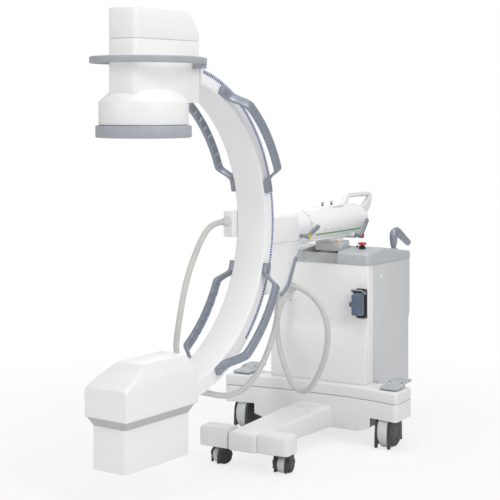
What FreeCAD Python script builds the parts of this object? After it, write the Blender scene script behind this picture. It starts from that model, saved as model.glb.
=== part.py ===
import FreeCAD
import Part
import math
import os

# Mobile C-arm X-ray: a wheeled base with a lifting column, a horizontal arm that pans,
# slides and rolls, and a C that orbits in a carriage and carries detector and X-ray tube.
# Millimetres, +X forward, +Y the machine's left, +Z up, floor at z = 0.

# Frame
COLUMN_X = -556.9
PAN_REST = -5.5
RUNNING_GAP = 0.3
FIT = 0.05

# C band
C_CENTRE_X = 1200.0
C_CENTRE_Z = 977.0
BAND_OUTER_R = 640.0
BAND_DEPTH = 62.0
BAND_WIDTH = 148.0
BAND_EDGE = 12.0
BAND_END_X_UPPER = -147.0
BAND_END_X_LOWER = -98.0
GROOVE_WIDTH = 96.0
GROOVE_DEPTH = 9.0
SCALE_WIDTH = 7.0
SCALE_THICK = 0.7
SCALE_EDGE_OFFSET = 7.0
SCALE_ANGLES = (108.0, 232.0)

# Grab rails on the C
RAIL_INSET = 42.0
RAIL_CENTRE_R = BAND_OUTER_R - RAIL_INSET
RAIL_WIDTH = 34.0
RAIL_THICK = 15.0
RAIL_OUTSIDE_Y = 158.0
RAIL_PAD_THICK = 15.0
UPPER_RAIL_ANGLES = (115.5, 119.0, 127.5, 158.0, 163.5, 168.0)
LOWER_RAIL_ANGLES = (196.0, 199.5, 205.0, 235.0, 243.0, 247.0)
NOTCH_LENGTH = 22.0
NOTCH_DEPTH = 3.5
NOTCH_COUNT = 7

# Detector (image intensifier)
II_AXIS_X = 107.0
II_RING_R = 177.5
II_RING_Z = 1338.5
II_RING_HEIGHT = 45.5
II_RING_WALL = 14.0
II_WINDOW_THICK = 6.0
II_WINDOW_RECESS = 4.0
II_DRUM_R = 166.0
II_DRUM_TOP_Z = 1472.0
II_SHOULDER = 12.0
II_HOUSING_FRONT_X = 235.0
II_HOUSING_HALF_WIDTH = 67.0
II_HOUSING_ROUND = 16.0
II_SEAM_Z = 1700.0
II_COVER_HEIGHT = 112.0
II_TOP_Z = II_SEAM_Z + II_COVER_HEIGHT
II_TOP_CHAMFER = 80.0
II_BUMP_R = 18.0
II_BUMP_AT = (198.0, -38.0)
II_BUMP_HEIGHT = 10.0
GUARD_R = 200.0
GUARD_THICK = 21.0
GUARD_Z = 1611.0
GUARD_HEIGHT = 26.0
GUARD_END_X = -133.0
GUARD_END_HALF_WIDTH = 112.0
GUARD_END_LENGTH = 34.0
GUARD_END_HEIGHT = 42.0

# X-ray tube housing
TUBE_REAR_X = -65.0
TUBE_FRONT_X = 301.0
TUBE_HALF_WIDTH = 79.5
TUBE_BOTTOM_Z = 145.0
TUBE_BAND_Z = 305.0
HOOD_Z = 336.0
HOOD_OVERHANG_X = 22.0
HOOD_OVERHANG_Y = 20.0
HOOD_SHOULDER_Z = 447.0
HOOD_TOP_Z = 520.0
HOOD_REAR_TOP_Z = 466.0
HOOD_REAR_X = -98.0
HOOD_ROUND = 30.0
HOOD_SLOPE_FRONT_X = 210.0
HOOD_SLOPE_REAR_X = -20.0
HOOD_RIDGE_DROP = 12.0
HOOD_RIDGE_ROUND = 60.0
HOOD_FRONT_ROUND = 24.0
HOOD_REAR_ROUND = 8.0
HOOD_WALL_TOP_Z = 462.0
HOOD_TOP_INSET = 34.0
PORT_X = 107.0

# Junction box on the C's right side
JUNCTION_ANGLE = 181.0
JUNCTION_INSIDE = 33.0
JUNCTION_OVERLAP = 26.0
JUNCTION_R = (BAND_OUTER_R - BAND_DEPTH - JUNCTION_INSIDE, BAND_OUTER_R - BAND_DEPTH + JUNCTION_OVERLAP)
JUNCTION_HEIGHT = 108.0
JUNCTION_THICK = 42.0
GLAND_R = 16.0
GLAND_LENGTH = 30.0
GLAND_Y = -95.0
BAND_GLAND_Y = -108.0
BAND_GLAND_ANGLE = 246.676
BAND_GLAND_DEPTH = 38.878
BAND_GLAND_RUN = (-8.8, 0.0, -28.7)
BAND_GLAND_PAD = (-24.0, 14.0, -48.0, -26.0)
GROOVE_CLAMP_Y = 20.0
GROOVE_CLAMP_ANGLE = 253.93
GROOVE_CLAMP_LIFT = 10.404
GROOVE_CLAMP_RUN = (31.0, 0.0, 6.5)

# Arm
ARM_Z = 930.0
ARM_R = 73.0
ARM_WALL = 9.0
SLEEVE_FRONT_X = 262.0
SLEEVE_REAR_X = -180.0
SLEEVE_TAIL = ((80.0, 0.0), (77.0, 26.0), (66.0, 46.0), (42.0, 62.0), (18.0, 70.0), (0.0, ARM_R))
ARM_TUBE_LENGTH = 380.0
SLEEVE_SCALE_DROP = 34.0
SLEEVE_SCALE_HEIGHT = 6.0
SLEEVE_SCALE_LENGTH = 300.0
SLEEVE_SCALE_THICK = 0.8
SLEEVE_PAD_X = (-74.0, 128.0)
SLEEVE_PAD_HALF_WIDTH = 34.0
SLEEVE_PAD_HEIGHT = 6.0
RIM_WIDTH = 6.0
RIM_GROOVE = 1.6
KNOB_X = (-2.0, 73.0)
KNOB_R = 11.0
KNOB_HEIGHT = 8.0
KNOB_STEM_R = 4.0
KNOB_STEM_HEIGHT = 9.0
KNOB_STEM_SUNK = 3.0

# Loop handle on the sleeve
LOOP_SECTION = 17.0
LOOP_FRONT_X = -92.0
LOOP_TOP_Z = 1047.0
LOOP_BACK_X = -352.0
LOOP_FOOT_SUNK = 4.0

# Roll head and carriage
NECK_REAR_GAP = 1.2
HEAD_REAR_X = 400.0
HEAD_HALF_WIDTH = 70.0
HEAD_TOP_Z = 1002.0
HEAD_SEAM_Z = 884.0
HEAD_ROUND = 22.0
CARRIAGE_BOTTOM_Z = 682.0
CARRIAGE_BACK_X = 347.0
CARRIAGE_BACK_LOW_X = 464.0
CARRIAGE_HALF_WIDTH = 67.0
ROLLER_R = 18.0
ROLLER_LENGTH = 92.0
ROLLER_ANGLES = (183.5, 201.0)
ROLLER_AXLE_R = 6.0
ROLLER_AXLE_LENGTH = 118.0
ROLLER_POCKET = 2.0
FITTING_R = 15.0
LOOP_FITTING_AT = (434.0, 43.8, 704.0)
LOOP_FITTING_RUN = (-30.0, 16.0, -5.0)
LOW_FITTING_AT = (494.0, 50.0, 656.0)

# Levers: hub centre, length and lean
LEVER_HUB_R = 11.0
LEVER_HUB_LENGTH = 20.0
LEVER_SHAFT_R = 7.0
LEVER_BLADE_WIDTH = 20.0
LEVER_BLADE_THICK = 9.0
FRONT_LEVER_X = 352.0
FRONT_LEVER_Z = 902.0
FRONT_LEVER_LENGTH = 92.0
FRONT_LEVER_LEAN = 24.0
REAR_LEVER_X = -86.0
REAR_LEVER_Z = 869.0
REAR_LEVER_LENGTH = 92.0
REAR_LEVER_LEAN = 52.0
LEVER_OUTSIDE_Y = 96.0
BRAKE_BAR_PIVOT = (394.0, 812.0)
BRAKE_BAR_TIP = (506.0, 667.0)
BRAKE_BAR_KNEE = (450.0, 706.0)
BRAKE_PIN_R = 5.0
BRAKE_BAR_THICK = 8.0
BRAKE_BAR_WIDTH = 14.0

# Column
HEAD_BLOCK_X = (-62.0, 36.0)
HEAD_BLOCK_HALF_WIDTH = 64.0
HEAD_BLOCK_Z = (806.0, 848.0)
TURNTABLE_R = 54.0
TURNTABLE_SPIGOT_R = 22.0
TURNTABLE_SPIGOT_LENGTH = 30.0
SADDLE_HALF_LENGTH = 70.0
SADDLE_HALF_WIDTH = 40.0
COLUMN_INNER_HALF = 42.0
COLUMN_WALL = 8.0
COLUMN_INNER_LENGTH = 520.0
COLUMN_BOTTOM_Z = 72.0
COLUMN_OUTER_TOP_Z = 745.0

# Cabinet
CABINET_FRONT_X = 111.0
CABINET_HALF_WIDTH = 236.0
CABINET_REAR_X = -338.0
CABINET_REAR_LOW_X = -324.0
CABINET_REAR_STEP_Z = 500.0
CABINET_TOP_FRONT_Z = 761.0
CABINET_TOP_REAR_Z = 750.0
COVER_WALL = 5.0
FRONT_COVER_DEPTH = 62.0
FRONT_CORNER_ROUND = 14.0
LEDGE_Z = (440.0, 497.0)
LEDGE_OUT = 25.0
SIDE_PANEL_LOW_Z = 182.0
PANEL_GAP = 0.6
LID_FRONT_TOP_Z = 812.0
LID_PEAK_X = -55.0
LID_PEAK_Z = 824.0
LID_REAR_TOP_Z = 783.0
LID_OVERHANG = 2.0
LID_REAR_OVERHANG = 10.0
LID_ROUND = 10.0
LID_CUT_DEPTH = 50.0
LID_WALL_DROP = 16.0
LID_TOP_INSET = 26.0
NOTCH_HALF_WIDTH = 86.0
NOTCH_REAR_X = -72.0
PLATE_TOP_Z = 806.0
PLATE_THICK = 2.5
PLATE_SCREW_Y = 76.0
PLATE_SCREW_Z = 773.0
SCREW_HEAD_R = 3.4
SCREW_HEAD_HEIGHT = 1.6

# Heavy-duty connector on the front cover
CONNECTOR_Y = 204.0
CONNECTOR_Z = 596.0
CONNECTOR_HEIGHT = 128.0
CONNECTOR_BASE_WIDTH = 50.0
CONNECTOR_BASE_DEPTH = 26.0
CONNECTOR_HOOD_HEIGHT = 98.0
CONNECTOR_HOOD_WIDTH = 44.0
CONNECTOR_HOOD_DEPTH = 46.0
LATCH_WIRE_R = 3.0
LATCH_REACH = 38.0
LATCH_PIVOT_R = 4.0

# Supply hose gland
GLAND_DISC_Y = -144.0
GLAND_DISC_Z = 618.0
GLAND_DISC_R = 40.0
GLAND_DISC_THICK = 5.0
SUPPLY_GLAND_R = 15.0
SUPPLY_PLUG_R = 12.0
SUPPLY_NOSE_ROOT = (114.0, -138.0, 650.0)
SUPPLY_NOSE_AT = (136.0, -147.0, 621.0)

# Emergency stop
ESTOP_X = 6.0
ESTOP_Y = 156.0
ESTOP_BASE_R = 15.0
ESTOP_BASE_HEIGHT = 14.0
ESTOP_BUTTON_R = 20.0
ESTOP_BUTTON_HEIGHT = 11.0
ESTOP_TRAVEL = 4.0
STOP_SEAT_SUNK = 3.0
ESTOP_STEM_R = 8.0

# Steering handle
STEER_X = -236.0
STEER_Y = 200.0
STEER_THICK = 34.0
STEER_RISE = 62.0
STEER_REACH = 172.0
STEER_DROP = 44.0
STEER_COLLAR_R = 13.0
STEER_COLLAR_SUNK = 20.0

# Base
BEAM_FRONT_X = 183.0
BEAM_SWEEP_X = 231.5
BEAM_SWEEP_Y = 227.0
BEAM_REAR_X = -326.0
BEAM_HALF_WIDTH = 418.5
BEAM_END_REAR_X = 68.0
BASE_TOP_Z = 246.5
BASE_SEAM_Z = 200.0
BASE_SEAM_GAP = 1.5
BASE_BOTTOM_Z = 60.0
END_BOTTOM_Z = 126.0
BASE_BODY_HALF_WIDTH = 236.0
WELL_INNER_Y = BEAM_HALF_WIDTH - 116.5
LOW_EDGE_Y = 215.0
LOW_EDGE_Z = 88.0
BEAM_SWEEP_ROUND = 120.0
BASE_ROUND = 18.0

# Leg
LEG_FRONT_X = 800.0
LEG_HALF_WIDTH_REAR = 88.5
LEG_HALF_WIDTH_FRONT = 69.0
LEG_TOP_Z = 152.0
LEG_BOTTOM_Z = 60.0
LEG_BOTTOM_FRONT_Z = 80.0
CAP_OUTSIDE_Y = 205.0
CAP_REAR_X = 702.0
CAP_FRONT_X = 796.0
CAP_TOP_Z = 161.0
CAP_BOTTOM_Z = 82.0
CAP_ROUND = 12.0

# Casters
FRONT_CASTER_X = 744.0
FRONT_CASTER_Y = 149.0
FRONT_WHEEL_R = 35.0
FRONT_WHEEL_WIDTH = 32.0
FRONT_CHEEK = 20.0
FRONT_TRAIL = 24.0
FRONT_SWIVELS = (-28.0, 2.0)
REAR_CASTER_X = 147.0
REAR_CASTER_Y = BEAM_HALF_WIDTH - 73.5
REAR_WHEEL_R = 74.0
REAR_WHEEL_WIDTH = 44.0
REAR_CHEEK = 13.0
REAR_WELL_HEIGHT = 42.0
WHEEL_SIDE_GAP = 1.0
AXLE_R = 5.0
STEM_R = 9.0
STEM_LENGTH = 26.0
AXLE_SEAT = 8.0
PRONG_CLEARANCE = 6.0
PRONG_REACH = 0.95
HOOD_REACH = 0.6
HOOD_WIDE_REACH = 0.9
HOOD_STEP = 10.0
SWING_CLEARANCE = 3.0

# Brake pedals
PEDAL_Y = BEAM_HALF_WIDTH - 58.5
PEDAL_SHAFT_X = 106.0
PEDAL_SHAFT_Z = 256.0
PEDAL_WIDTH = 84.0
PEDAL_REAR_LENGTH = 88.0
PEDAL_FRONT_LENGTH = 84.0
PEDAL_THICK = 8.0
PEDAL_SHAFT_R = 5.0
PEDAL_FRONT_Z = 251.0
PEDAL_REAR_Z = 262.0
PEDAL_EAR_INSET = 14.0
PEDAL_EAR_THICK = 6.0

# Hoses: the supply hose is routed in the base frame, the other two in the panned arm frame
HOSE_R = 12.0
SUPPLY_HOSE = (
    (376.0, 86.0, 668.0), (352.0, 144.0, 590.0), (336.0, 156.0, 490.0), (321.0, 130.0, 378.0),
    (299.0, 80.0, 290.0), (283.0, 36.0, 236.0), (272.0, -4.0, 220.0), (257.0, -52.0, 232.0),
    (243.0, -84.0, 268.0), (225.0, -128.0, 342.0), (203.0, -166.0, 440.0), (182.0, -174.0, 530.0),
)
TUBE_HOSE = (
    (749.0, -95.0, 977.0), (812.0, -95.0, 942.0), (877.0, -95.0, 858.0), (928.0, -95.0, 768.0),
    (961.0, -95.0, 670.0), (980.0, -102.0, 560.0),
)
TRAILING_HOSE = (
    (494.0, 50.0, 596.0), (501.0, 36.0, 520.0), (545.0, 25.0, 420.0), (612.0, 20.0, 346.0),
    (704.0, 20.0, 303.0), (806.0, 20.0, 297.0), (890.0, 20.0, 316.0),
)

V = FreeCAD.Vector
UP = V(0, 0, 1)
SIDEWAYS = V(0, 1, 0)
FORWARD = V(1, 0, 0)
nodes = {}


def block(x0, x1, y0, y1, z0, z1):
    return Part.makeBox(x1 - x0, y1 - y0, z1 - z0, V(x0, y0, z0))


def rounded_wire(points, radii):
    """Closed wire through the points, with each corner rounded by its own radius."""
    count = len(points)
    edges, starts, ends, arcs = [], [], [], []
    for i in range(count):
        before, here, after = points[i - 1], points[i], points[(i + 1) % count]
        radius = radii[i] if isinstance(radii, (list, tuple)) else radii
        to_before = (before - here).normalize()
        to_after = (after - here).normalize()
        half = to_before.getAngle(to_after) / 2
        if radius <= 0 or math.pi / 2 - half < 1e-3:
            starts.append(here)
            ends.append(here)
            arcs.append(None)
            continue
        reach = radius / math.tan(half)
        first, last = here + to_before * reach, here + to_after * reach
        middle = (to_before + to_after).normalize()
        centre = here + middle * (radius / math.sin(half))
        starts.append(first)
        ends.append(last)
        arcs.append(Part.Arc(first, centre - middle * radius, last).toShape())
    for i in range(count):
        if arcs[i]:
            edges.append(arcs[i])
        if (starts[(i + 1) % count] - ends[i]).Length > 1e-6:
            edges.append(Part.LineSegment(ends[i], starts[(i + 1) % count]).toShape())
    return Part.Wire(edges)


def plate_xy(outline, z0, z1, radii=0.0):
    points = [V(x, y, z0) for x, y in outline]
    return Part.Face(rounded_wire(points, radii)).extrude(V(0, 0, z1 - z0))


def plate_xz(outline, y0, y1, radii=0.0):
    points = [V(x, y0, z) for x, z in outline]
    return Part.Face(rounded_wire(points, radii)).extrude(V(0, y1 - y0, 0))


def plate_yz(outline, x0, x1, radii=0.0):
    points = [V(x0, y, z) for y, z in outline]
    return Part.Face(rounded_wire(points, radii)).extrude(V(x1 - x0, 0, 0))


def cylinder(radius, start, direction, length):
    return Part.makeCylinder(radius, length, start, direction)


def ring(outer, inner, start, direction, length):
    return cylinder(outer, start, direction, length).cut(cylinder(inner, start, direction, length))


def chamfer_edges(shape, size, chosen):
    edges = [edge for edge in shape.Edges if chosen(edge)]
    return shape.makeChamfer(size, edges)


def at_height(z, tolerance=0.01):
    return lambda edge: abs(edge.BoundBox.ZMin - z) < tolerance and abs(edge.BoundBox.ZMax - z) < tolerance


def mirrored(shape):
    return shape.mirror(V(0, 0, 0), SIDEWAYS)


def fuse_all(shapes):
    return shapes[0].multiFuse(shapes[1:]).removeSplitter() if len(shapes) > 1 else shapes[0]


def tube_along(points, radius):
    """Round tube along straight runs joined by tangent arcs; returns the solid and the arc radii."""
    route = [V(*p) for p in points]
    edges, radii = [], []
    here = route[0]
    for before, corner, after in zip(route, route[1:], route[2:]):
        back, onward = before - corner, after - corner
        turn = math.pi - back.getAngle(onward)
        shorter = min(back.Length, onward.Length)
        arc_radius = 0.45 * shorter / math.tan(turn / 2)
        reach = 0.45 * shorter
        first = corner + back.normalize() * reach
        last = corner + onward.normalize() * reach
        middle = (back + onward).normalize()
        sag = arc_radius / math.cos(turn / 2) - arc_radius
        edges.append(Part.LineSegment(here, first).toShape())
        edges.append(Part.Arc(first, corner + middle * sag, last).toShape())
        radii.append(round(arc_radius))
        here = last
    edges.append(Part.LineSegment(here, route[-1]).toShape())
    path = Part.Wire(edges)
    start = Part.Wire(Part.Circle(route[0], route[1] - route[0], radius).toShape())
    solid = path.makePipeShell([start], True, False)
    return solid, radii


def keep(name, shape, panned=False):
    """Put a finished piece in the row frame: the arm's side of the column is panned at rest."""
    placed = shape.copy()
    if panned:
        placed.rotate(V(0, 0, 0), UP, PAN_REST)
    placed.translate(V(COLUMN_X, 0, 0))
    nodes[name] = placed


# The C: everything below is drawn about the C's centre and moved to the arm by on_c
def on_c(shape):
    moved = shape.copy()
    moved.translate(V(C_CENTRE_X, 0, C_CENTRE_Z))
    return moved


def swept(outline, start_angle, end_angle):
    """Sweep a closed (radius, y) outline about the C's axis; angles run from +X towards +Z."""
    corners = [V(radius, y, 0) for radius, y in outline]
    face = Part.Face(Part.makePolygon(corners + corners[:1]))
    face.rotate(V(0, 0, 0), V(0, -1, 0), start_angle)
    return face.revolve(V(0, 0, 0), V(0, -1, 0), end_angle - start_angle)


def radial_section(angle, r0, r1, y0, y1):
    wire = Part.makePolygon([V(r0, y0, 0), V(r1, y0, 0), V(r1, y1, 0), V(r0, y1, 0), V(r0, y0, 0)])
    wire.rotate(V(0, 0, 0), V(0, -1, 0), angle)
    return wire


def polar(radius, angle, y=0.0):
    a = math.radians(angle)
    return V(radius * math.cos(a), y, radius * math.sin(a))


def band_gland_at():
    return polar(BAND_OUTER_R - BAND_GLAND_DEPTH, BAND_GLAND_ANGLE, BAND_GLAND_Y)


def groove_clamp_at():
    return polar(BAND_OUTER_R + GROOVE_CLAMP_LIFT, GROOVE_CLAMP_ANGLE, GROOVE_CLAMP_Y)


def make_band():
    """Curved beam with an outer running groove, a hose gland at its side and a hose clamp in the groove."""
    inner_r = BAND_OUTER_R - BAND_DEPTH
    half = BAND_WIDTH / 2
    groove = GROOVE_WIDTH / 2
    floor = BAND_OUTER_R - GROOVE_DEPTH
    edge = BAND_EDGE
    outline = [(inner_r, -half + edge), (inner_r + edge, -half), (BAND_OUTER_R, -half), (BAND_OUTER_R, -groove),
               (floor, -groove), (floor, groove), (BAND_OUTER_R, groove), (BAND_OUTER_R, half),
               (inner_r + edge, half), (inner_r, half - edge)]
    band = swept(outline, 98.0, 266.0)
    reach = BAND_OUTER_R + 10
    band = band.cut(block(BAND_END_X_UPPER, reach, -reach, reach, 0, reach))
    band = band.cut(block(BAND_END_X_LOWER, reach, -reach, reach, -reach, 0))
    run = V(*BAND_GLAND_RUN)
    at = band_gland_at()
    gland = cylinder(GLAND_R, at, run, run.Length + 6)
    x0, x1, z0, z1 = BAND_GLAND_PAD
    pad = block(at.x + x0, at.x + x1, at.y - GLAND_R, -half + 1, at.z + z0, at.z + z1)
    run = V(*GROOVE_CLAMP_RUN)
    clamp = cylinder(GLAND_R - 2, groove_clamp_at(), run, run.Length)
    x, y, z = groove_clamp_at()
    seat = block(x + 4, x + 28, y - GLAND_R, y + GLAND_R, z, z + GLAND_R * 2)
    seat = seat.cut(swept([(0, -half), (floor - 1, -half), (floor - 1, half), (0, half)], 200, 266))
    return fuse_all([band, gland, pad, clamp, seat])


def make_scales():
    outer = BAND_OUTER_R - SCALE_EDGE_OFFSET
    half = BAND_WIDTH / 2
    strips = []
    for side in (-1, 1):
        near, far = side * half, side * (half + SCALE_THICK)
        outline = [(outer - SCALE_WIDTH, near), (outer, near), (outer, far), (outer - SCALE_WIDTH, far)]
        strips.append(swept(outline, *SCALE_ANGLES))
    return Part.makeCompound(strips)


def make_rail(angles, side):
    """Flat grab rail beside the band: two pads, two slanting ends and a grip with finger notches."""
    pad_start, bend_start, grip_start, grip_end, bend_end, pad_end = angles
    r0, r1 = RAIL_CENTRE_R - RAIL_WIDTH / 2, RAIL_CENTRE_R + RAIL_WIDTH / 2
    half = BAND_WIDTH / 2
    pad = (half, half + RAIL_PAD_THICK)
    grip = (RAIL_OUTSIDE_Y - RAIL_THICK, RAIL_OUTSIDE_Y)

    def arc(y_range, start, end):
        return swept([(r0, y_range[0]), (r1, y_range[0]), (r1, y_range[1]), (r0, y_range[1])], start, end)

    def slant(start, end, y_start, y_end):
        sections = [radial_section(start, r0, r1, *y_start), radial_section(end, r0, r1, *y_end)]
        return Part.makeLoft(sections, True, True)

    rail = arc(grip, grip_start, grip_end)
    span = grip_end - grip_start
    for i in range(NOTCH_COUNT):
        angle = grip_start + span * (i + 1.5) / (NOTCH_COUNT + 2)
        notch = plate_yz([(-1 + grip[0], -NOTCH_LENGTH / 2), (grip[0] + NOTCH_DEPTH, -NOTCH_LENGTH / 4),
                          (grip[0] + NOTCH_DEPTH, NOTCH_LENGTH / 4), (-1 + grip[0], NOTCH_LENGTH / 2)], r0 - 5, r1 + 5)
        notch.rotate(V(0, 0, 0), V(0, -1, 0), angle)
        rail = rail.cut(notch)
    rail = fuse_all([
        rail, arc(pad, pad_start, bend_start), arc(pad, bend_end, pad_end),
        slant(bend_start, grip_start, pad, grip), slant(grip_end, bend_end, grip, pad),
    ])
    return rail if side > 0 else mirrored(rail)


def make_junction_box():
    mid_z = BAND_OUTER_R * math.sin(math.radians(JUNCTION_ANGLE))
    top, bottom = mid_z + JUNCTION_HEIGHT / 2, mid_z - JUNCTION_HEIGHT / 2
    inner_y = -BAND_WIDTH / 2
    outline = [(-JUNCTION_R[1], bottom), (-JUNCTION_R[0], bottom), (-JUNCTION_R[0], top), (-JUNCTION_R[1], top)]
    case = plate_xz(outline, inner_y - JUNCTION_THICK, inner_y, 8.0)
    gland = cylinder(GLAND_R, V(-JUNCTION_R[0] - 1, GLAND_Y, 0), FORWARD, GLAND_LENGTH + 1)
    return fuse_all([case, gland])


def make_ii_ring():
    return ring(II_RING_R, II_RING_R - II_RING_WALL, V(II_AXIS_X, 0, II_RING_Z), UP, II_RING_HEIGHT)


def make_ii_window():
    z = II_RING_Z + II_WINDOW_RECESS
    return cylinder(II_RING_R - II_RING_WALL, V(II_AXIS_X, 0, z), UP, II_WINDOW_THICK)


def make_ii_housing():
    drum_z = II_RING_Z + II_RING_HEIGHT
    drum = cylinder(II_DRUM_R, V(II_AXIS_X, 0, drum_z), UP, II_DRUM_TOP_Z - drum_z)
    shoulder = Part.makeCone(II_DRUM_R, II_DRUM_R - II_SHOULDER, II_SHOULDER, V(II_AXIS_X, 0, II_DRUM_TOP_Z), UP)
    rear = BAND_END_X_UPPER
    w = II_HOUSING_HALF_WIDTH
    outline = [(rear, -w), (II_HOUSING_FRONT_X, -w), (II_HOUSING_FRONT_X, w), (rear, w)]
    body = plate_xy(outline, II_DRUM_TOP_Z - 6, II_SEAM_Z, (8.0, II_HOUSING_ROUND, II_HOUSING_ROUND, 8.0))
    return fuse_all([drum, shoulder, body])


def make_ii_top():
    rear = BAND_END_X_UPPER
    w = II_HOUSING_HALF_WIDTH
    outline = [(rear, -w), (II_HOUSING_FRONT_X, -w), (II_HOUSING_FRONT_X, w), (rear, w)]
    cover = plate_xy(outline, II_SEAM_Z, II_TOP_Z, (8.0, II_HOUSING_ROUND, II_HOUSING_ROUND, 8.0))
    slope = plate_xz([(rear - 1, II_TOP_Z + 1), (rear - 1, II_SEAM_Z + 6),
                      (rear + II_TOP_CHAMFER, II_TOP_Z + 1)], -w - 1, w + 1)
    cover = chamfer_edges(cover.cut(slope), 6.0, at_height(II_TOP_Z))
    bump = Part.makeCone(II_BUMP_R + 4, II_BUMP_R, II_BUMP_HEIGHT, V(*II_BUMP_AT, II_TOP_Z), UP)
    return fuse_all([cover, bump])


def make_guard_ring():
    def outline(inset):
        r = GUARD_R - inset
        half = GUARD_END_HALF_WIDTH - inset
        rear = GUARD_END_X + inset
        front = V(II_AXIS_X + r, 0, GUARD_Z)
        left, right = V(II_AXIS_X, r, GUARD_Z), V(II_AXIS_X, -r, GUARD_Z)
        rear_left, rear_right = V(rear, half, GUARD_Z), V(rear, -half, GUARD_Z)
        edges = [Part.Arc(right, front, left).toShape(), Part.LineSegment(left, rear_left).toShape(),
                 Part.LineSegment(rear_left, rear_right).toShape(), Part.LineSegment(rear_right, right).toShape()]
        return Part.Face(Part.Wire(edges)).extrude(V(0, 0, GUARD_HEIGHT))

    hoop = outline(0.0).cut(outline(GUARD_THICK))
    low = GUARD_Z - (GUARD_END_HEIGHT - GUARD_HEIGHT)
    w = II_HOUSING_HALF_WIDTH
    ends = [block(GUARD_END_X, GUARD_END_X + GUARD_END_LENGTH, side * w if side > 0 else -GUARD_END_HALF_WIDTH,
                  GUARD_END_HALF_WIDTH if side > 0 else -w, low, GUARD_Z + GUARD_HEIGHT) for side in (-1, 1)]
    shape = fuse_all([hoop] + ends)
    return shape.cut(block(BAND_END_X_UPPER, II_HOUSING_FRONT_X, -w, w, low - 1, GUARD_Z + GUARD_HEIGHT + 1))


def make_tube_box():
    w = TUBE_HALF_WIDTH
    outline = [(TUBE_REAR_X, -w), (TUBE_FRONT_X, -w), (TUBE_FRONT_X, w), (TUBE_REAR_X, w)]
    case = plate_xy(outline, TUBE_BOTTOM_Z, TUBE_BAND_Z, 10.0)
    return chamfer_edges(case, 4.0, at_height(TUBE_BOTTOM_Z))


def make_tube_band():
    w, wide = TUBE_HALF_WIDTH, TUBE_HALF_WIDTH + HOOD_OVERHANG_Y - 3
    x0, x1 = TUBE_REAR_X, TUBE_FRONT_X
    out = HOOD_OVERHANG_X - 3
    low = Part.makePolygon([V(x0, -w, TUBE_BAND_Z), V(x1, -w, TUBE_BAND_Z), V(x1, w, TUBE_BAND_Z),
                            V(x0, w, TUBE_BAND_Z), V(x0, -w, TUBE_BAND_Z)])
    high = Part.makePolygon([V(x0 - out, -wide, HOOD_Z), V(x1 + out, -wide, HOOD_Z), V(x1 + out, wide, HOOD_Z),
                             V(x0 - out, wide, HOOD_Z), V(x0 - out, -wide, HOOD_Z)])
    return Part.makeLoft([low, high], True, True)


def make_tube_hood():
    front = TUBE_FRONT_X + HOOD_OVERHANG_X
    w = TUBE_HALF_WIDTH + HOOD_OVERHANG_Y
    ridge = HOOD_TOP_Z - HOOD_RIDGE_DROP
    profile = [(HOOD_REAR_X, HOOD_Z), (front, HOOD_Z), (front, HOOD_SHOULDER_Z), (HOOD_SLOPE_FRONT_X, ridge),
               (PORT_X, HOOD_TOP_Z), (HOOD_SLOPE_REAR_X, ridge), (HOOD_REAR_X, HOOD_REAR_TOP_Z)]
    side = plate_xz(profile, -w, w, (0.0, 0.0, HOOD_FRONT_ROUND, HOOD_ROUND, HOOD_RIDGE_ROUND, HOOD_RIDGE_ROUND,
                                     HOOD_REAR_ROUND))
    top = HOOD_TOP_Z + 5
    inset = w - HOOD_TOP_INSET
    section = [(-w, HOOD_Z - 1), (w, HOOD_Z - 1), (w, HOOD_WALL_TOP_Z), (inset, top), (-inset, top), (-w, HOOD_WALL_TOP_Z)]
    across = plate_yz(section, HOOD_REAR_X - 5, front + 5, (0.0, 0.0, HOOD_ROUND, HOOD_ROUND, HOOD_ROUND, HOOD_ROUND))
    plan = [(HOOD_REAR_X, -w), (front, -w), (front, w), (HOOD_REAR_X, w)]
    return side.common(across).common(plate_xy(plan, HOOD_Z, top, (6.0, 16.0, 16.0, 6.0)))


# Arm pieces are drawn with the column axis at the origin and the arm along +X
def axis_point(x, y=0.0, z=ARM_Z):
    return V(x, y, z)


def make_sleeve():
    """Outer arm: a barrel with a rounded tail, a pad for the lock knobs and a bore for the arm tube."""
    profile = [V(SLEEVE_FRONT_X, 0, ARM_Z)]
    profile += [V(SLEEVE_REAR_X - back, 0, ARM_Z + radius) for back, radius in SLEEVE_TAIL]
    profile += [V(SLEEVE_FRONT_X, 0, ARM_Z + ARM_R), profile[0]]
    barrel = Part.Face(Part.makePolygon(profile)).revolve(axis_point(0), FORWARD, 360)
    pad_z = ARM_Z + ARM_R + SLEEVE_PAD_HEIGHT
    pad_w = SLEEVE_PAD_HALF_WIDTH
    pad = plate_yz([(-pad_w, ARM_Z), (pad_w, ARM_Z), (pad_w - 12, pad_z), (-pad_w + 12, pad_z)],
                   SLEEVE_PAD_X[0], SLEEVE_PAD_X[1], (0.0, 0.0, 4.0, 4.0))
    boss = cylinder(LEVER_SHAFT_R + 5, V(REAR_LEVER_X, 20, REAR_LEVER_Z), SIDEWAYS, ARM_R - 18)
    sleeve = fuse_all([barrel, pad, boss])
    bore_start = SLEEVE_FRONT_X - ARM_TUBE_LENGTH - RUNNING_GAP
    sleeve = sleeve.cut(cylinder(ARM_R - ARM_WALL, axis_point(bore_start), FORWARD, SLEEVE_FRONT_X - bore_start + 1))
    for x in KNOB_X:
        sleeve = sleeve.cut(cylinder(KNOB_STEM_R + FIT, V(x, 0, pad_z - KNOB_STEM_SUNK - RUNNING_GAP), UP, 20))
    shaft = cylinder(LEVER_SHAFT_R + FIT, V(REAR_LEVER_X, ARM_R - 22 - RUNNING_GAP, REAR_LEVER_Z), SIDEWAYS, 60)
    return sleeve.cut(shaft)


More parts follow.
